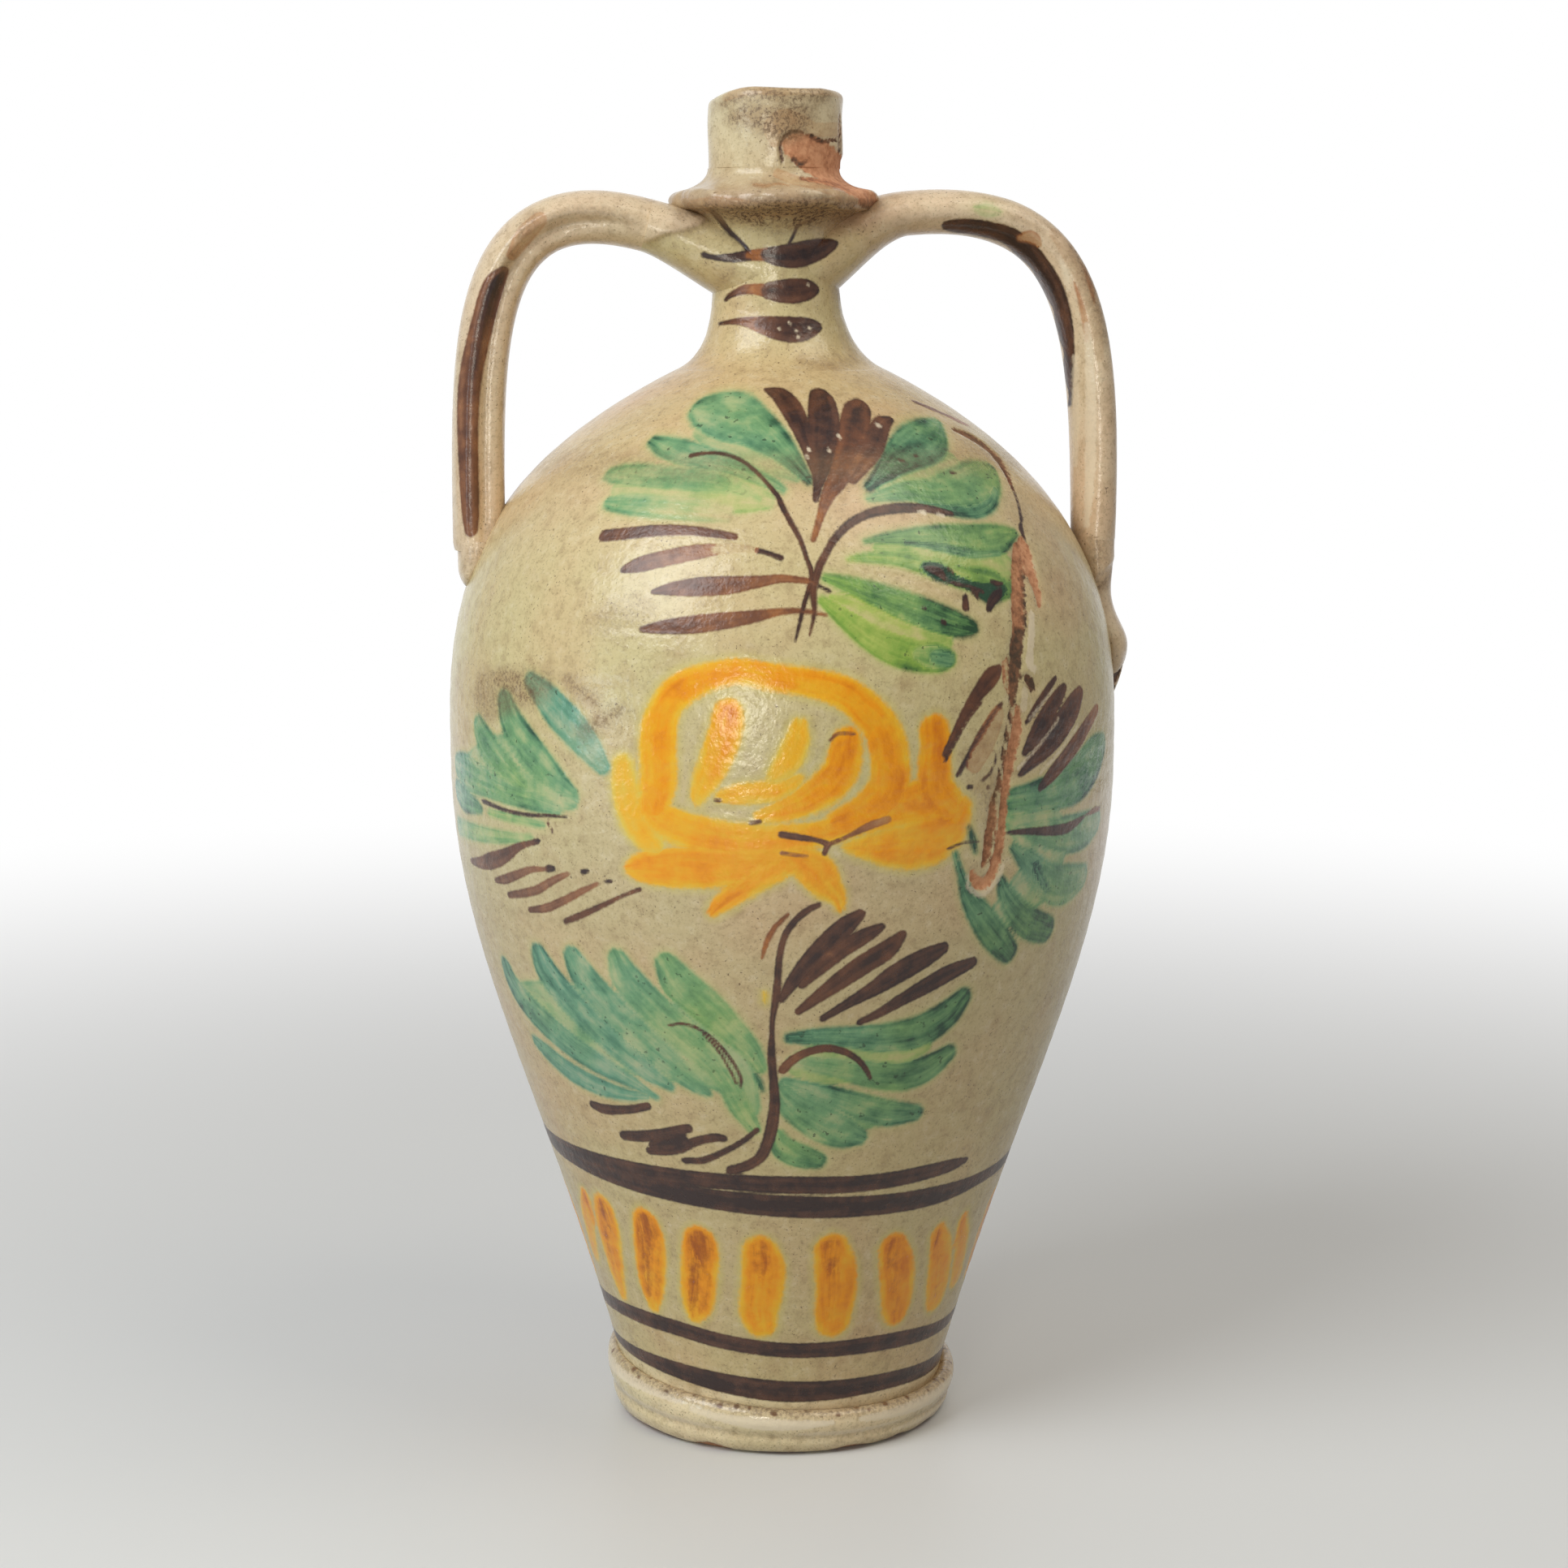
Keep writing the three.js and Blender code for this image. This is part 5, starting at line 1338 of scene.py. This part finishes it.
for hand in (LEFT, RIGHT):
    side, thickness, breadth = hand["side"], hand["thickness"], hand["breadth"]
    rise, slope = neck_top + hand["rise"], hand["slope"]
    landing_height = shoulder_height - LANDING_DROP
    landing = np.array((shoulder_radius(landing_height) + hand["stand_off"] + thickness / 2, landing_height))
    tail_height = landing_height - hand["tail_length"]
    tail = np.array((shoulder_radius(tail_height), tail_height))
    root_start = np.array((0, neck_top + ROOT_RISE))
    root_end = np.array((COLLAR_RADIUS + ROOT_BEYOND_COLLAR, rise))
    aim = np.array((math.cos(slope), math.sin(slope)))
    root_path = bow(root_start, root_start + (ROOT_PULL, 0), root_end - ROOT_PULL * aim, root_end)
    strap_path = np.vstack((
        root_end - BURIED * aim,
        bow(root_end, root_end + CROWN_PULL * aim, landing + (0, LANDING_PULL), landing),
        landing - (0, BURIED),
    ))
    tail_path = bow(
        landing, landing - (0, hand["tail_length"] / 3), tail + (0, hand["tail_length"] / 3), tail
    )

    def root_section(share, out, front):
        depth = thickness + (ROOT_DEPTH - thickness) * (1 - share) ** ROOT_FLARE
        spread = ROOT_SPREAD + (breadth - ROOT_SPREAD) * share
        return out * depth / 2, front * spread / 2

    def strap_section(share, out, front):
        pressed = np.interp(out, *(RIB if side < 0 else INNER_EDGE))
        ends = np.clip(np.minimum(share / 0.22, (1 - share) / 0.06), 0, 1)
        turned = hand["turned"] * front * breadth / 2 * ends * np.sin(np.pi * share) ** 0.7
        slim = np.interp(share, (0, 0.015, 0.985, 1), (0.95, 1, 1, 0.95))
        return slim * out * thickness / 2 + turned, slim * front * breadth / 2 * (1 + (pressed - 1) * ends)

    def tail_section(share, out, front):
        bulge = np.sin(np.pi * share ** hand["sag"])
        depth = thickness + (TAIL_THICKNESS - thickness) * share + hand["pad_swell"] * bulge
        spread = breadth + (TAIL_BREADTH - breadth) * share + (hand["pad_breadth"] - breadth) * bulge
        tongue = np.sqrt(1 - 0.98 * np.clip((share - 0.7) / 0.3, 0, 1) ** 2)
        return out * depth * tongue / 2, front * spread * tongue / 2

    root = pulled(
        hand["name"] + "_root_wad",
        hand["name"] + "_upper_root",
        side,
        root_path,
        WAD_STEPS,
        root_section,
    )
    strap = pulled(
        hand["name"] + "_strap",
        hand["name"] + "_handle",
        side,
        strap_path,
        STRAP_STEPS,
        strap_section,
    )
    pad = pulled(
        hand["name"] + "_lower_wad",
        hand["name"] + "_lower_root",
        side,
        tail_path,
        WAD_STEPS,
        tail_section,
    )
    for piece, glaze in ((root, neck_glaze), (strap, strap_glaze), (pad, strap_glaze)):
        points = leaning(places(piece))
        radius = polar(points)[0]
        held_off = np.maximum(1, (BORE_RADIUS + 2) / np.maximum(radius, 0.1))
        points[:, :2] *= held_off[:, None]
        where, scale, forward = from_front(points)
        across, up = where.T
        if piece is pad:
            reach = decorate(piece, *around(points), ALL_ROUND, clay=pad_chip, grime=pad_dirt_and_shade)
        else:
            reach = decorate(
                piece,
                where,
                scale,
                0.5 * (forward + side * 0.1 * abs(points[:, 0]) + 3 + 2 * np.sin(0.5 * up)),
                brown=neck_drops + cracks + strap_stripes,
                green=strap_smudge,
                pale=strap_painted_highlights,
                grime=root_dirt + strap_dirt + strap_end_dirt_and_shade + neck_dirt,
            )
        if piece is root and side < 0:
            blush = np.clip((up - np.interp(across, *SEAM)) / 0.8, 0, 1)
            points[:, 1] -= 0.8 * blush * (forward > 0)
        elif piece is root:
            blush = np.clip((across - 22) / 18, 0, 1)
        else:
            blush = np.ones(len(points))
        if piece is pad and side > 0:
            below = np.clip(((across - 100.5) * 0.62 - (up - 262.5) * 0.79) / 1.5, 0, 1)
            thumbed = 2.4 * below * np.exp(-(((up - 250) / 9) ** 2)) - 1.6 * np.exp(-(((up - 237) / 6) ** 2))
            thumbed = thumbed + 1.2 * np.clip(reach["clay"] + 0.3, 0, 1)
            points[:, 0] -= 0.8 * thumbed
            points[:, 1] += 0.5 * thumbed
        layer = piece.data.attributes.new("blush", "FLOAT", "POINT")
        layer.data.foreach_set("value", blush.astype(np.float32))
        settle(piece, points)
        piece.data.materials.append(glaze)

# The stage: a plain pale floor that fades into a white surround, under soft studio light from the left,
# from above, from the right and from beside the camera, with a weak fill from behind.
FLOOR_RADIUS = 1.3
FLOOR_SEEN = (0.72, 0.72, 0.71, 1)
FLOOR_UNSEEN = (0.4, 0.4, 0.39, 1)
FADE_FROM = 0.25
FADE_TO = 1.1
ROOM_LEVEL = 0.14
SIDE_GLEAM = 0.25
FILL_LEVEL = 0.42

shape = bmesh.new()
bmesh.ops.create_circle(shape, cap_ends=True, segments=128, radius=FLOOR_RADIUS)
floor_mesh = bpy.data.meshes.new("floor")
shape.to_mesh(floor_mesh)
shape.free()
floor = bpy.data.objects.new("floor", floor_mesh)
bpy.context.scene.collection.objects.link(floor)
floor_paint = bpy.data.materials.new("floor_paint")
floor_paint.use_nodes = True
ground = Wash(floor_paint.node_tree)
floor_shader = floor_paint.node_tree.nodes["Principled BSDF"]
floor_shader.inputs["Roughness"].default_value = 0.5
seen, glossy, through = ground.rays()
seen = seen + glossy + through
shade = seen.over(FLOOR_UNSEEN, FLOOR_SEEN)
floor_paint.node_tree.links.new(shade.socket, floor_shader.inputs["Base Color"])
spot = ground.node("ShaderNodeTexCoord", output="Object")
distance = ground.node("ShaderNodeVectorMath", {"operation": "LENGTH"}, {0: spot}, "Value")
painted = Wash(floor_paint.node_tree, floor_shader.outputs[0])
white = ground.node("ShaderNodeEmission", inputs={"Color": (1, 1, 1, 1), "Strength": 1.0})
fade = distance.fade(FADE_FROM, FADE_TO) * seen
faded = ground.node("ShaderNodeMixShader", inputs={0: fade, 1: painted, 2: white})
floor_output = floor_paint.node_tree.nodes["Material Output"]
floor_paint.node_tree.links.new(faded.socket, floor_output.inputs["Surface"])
floor.data.materials.append(floor_paint)

world = bpy.data.worlds.new("surround")
world.use_nodes = True
bpy.context.scene.world = world
surround = Wash(world.node_tree)
background = world.node_tree.nodes["Background"]
seen, glossy, through = surround.rays()
right, back, up = surround.node("ShaderNodeTexCoord", output="Generated").parts()
gleam = SIDE_GLEAM + (1 - SIDE_GLEAM) * back.fade(0.65, 1.0)
fill = FILL_LEVEL * (0.3 * right + 0.75 * back + 0.6 * up).fade(0.1, 1.0) * (1 - seen - glossy - through)
level = ROOM_LEVEL + fill + (1 - ROOM_LEVEL) * (seen + (glossy + through) * gleam)
world.node_tree.links.new(level.socket, background.inputs["Strength"])
background.inputs["Color"].default_value = (1, 1, 1, 1)


def softbox(name, place, aim, size, power, colour):
    lamp = bpy.data.lights.new(name, "AREA")
    lamp.shape = "RECTANGLE"
    lamp.size, lamp.size_y = size
    lamp.energy = power
    lamp.color = colour
    box = bpy.data.objects.new(name, lamp)
    bpy.context.scene.collection.objects.link(box)
    box.location = place
    box.rotation_euler = (Vector(aim) - Vector(place)).to_track_quat("-Z", "Y").to_euler()


softbox("window_left", (-1.33, -0.60, 0.22), (0, 0, 0.22), (0.45, 0.28), 2, (0.74, 0.90, 1.0))
softbox("skylight", (-0.92, -0.66, 1.18), (0, 0, 0.2), (0.9, 0.9), 15, (0.95, 0.98, 1.0))
softbox("ceiling", (0.60, -0.40, 1.30), (0, 0, 0.2), (0.8, 0.8), 5, (1.0, 0.93, 0.80))
softbox("lamp_by_camera", (-0.45, -1.43, 0.30), (0, 0, 0.2), (0.3, 0.34), 4, (1.0, 0.95, 0.82))

LENS = 71.4
SENSOR = 36
CAMERA_DISTANCE = 0.931
CAMERA_HEIGHT = 0.3447
CAMERA_SIDESTEP = 0.00073
CAMERA_PITCH = math.radians(9.2)
lens = bpy.data.cameras.new("camera")
lens.lens = LENS
lens.sensor_width = SENSOR
camera = bpy.data.objects.new("camera", lens)
bpy.context.scene.collection.objects.link(camera)
camera.location = (
    CAMERA_DISTANCE * math.sin(FRONT) + CAMERA_SIDESTEP * math.cos(FRONT),
    -CAMERA_DISTANCE * math.cos(FRONT) + CAMERA_SIDESTEP * math.sin(FRONT),
    CAMERA_HEIGHT,
)
camera.rotation_euler = (math.pi / 2 - CAMERA_PITCH, 0, FRONT)
bpy.context.scene.camera = camera
bpy.context.scene.view_settings.view_transform = "Standard"
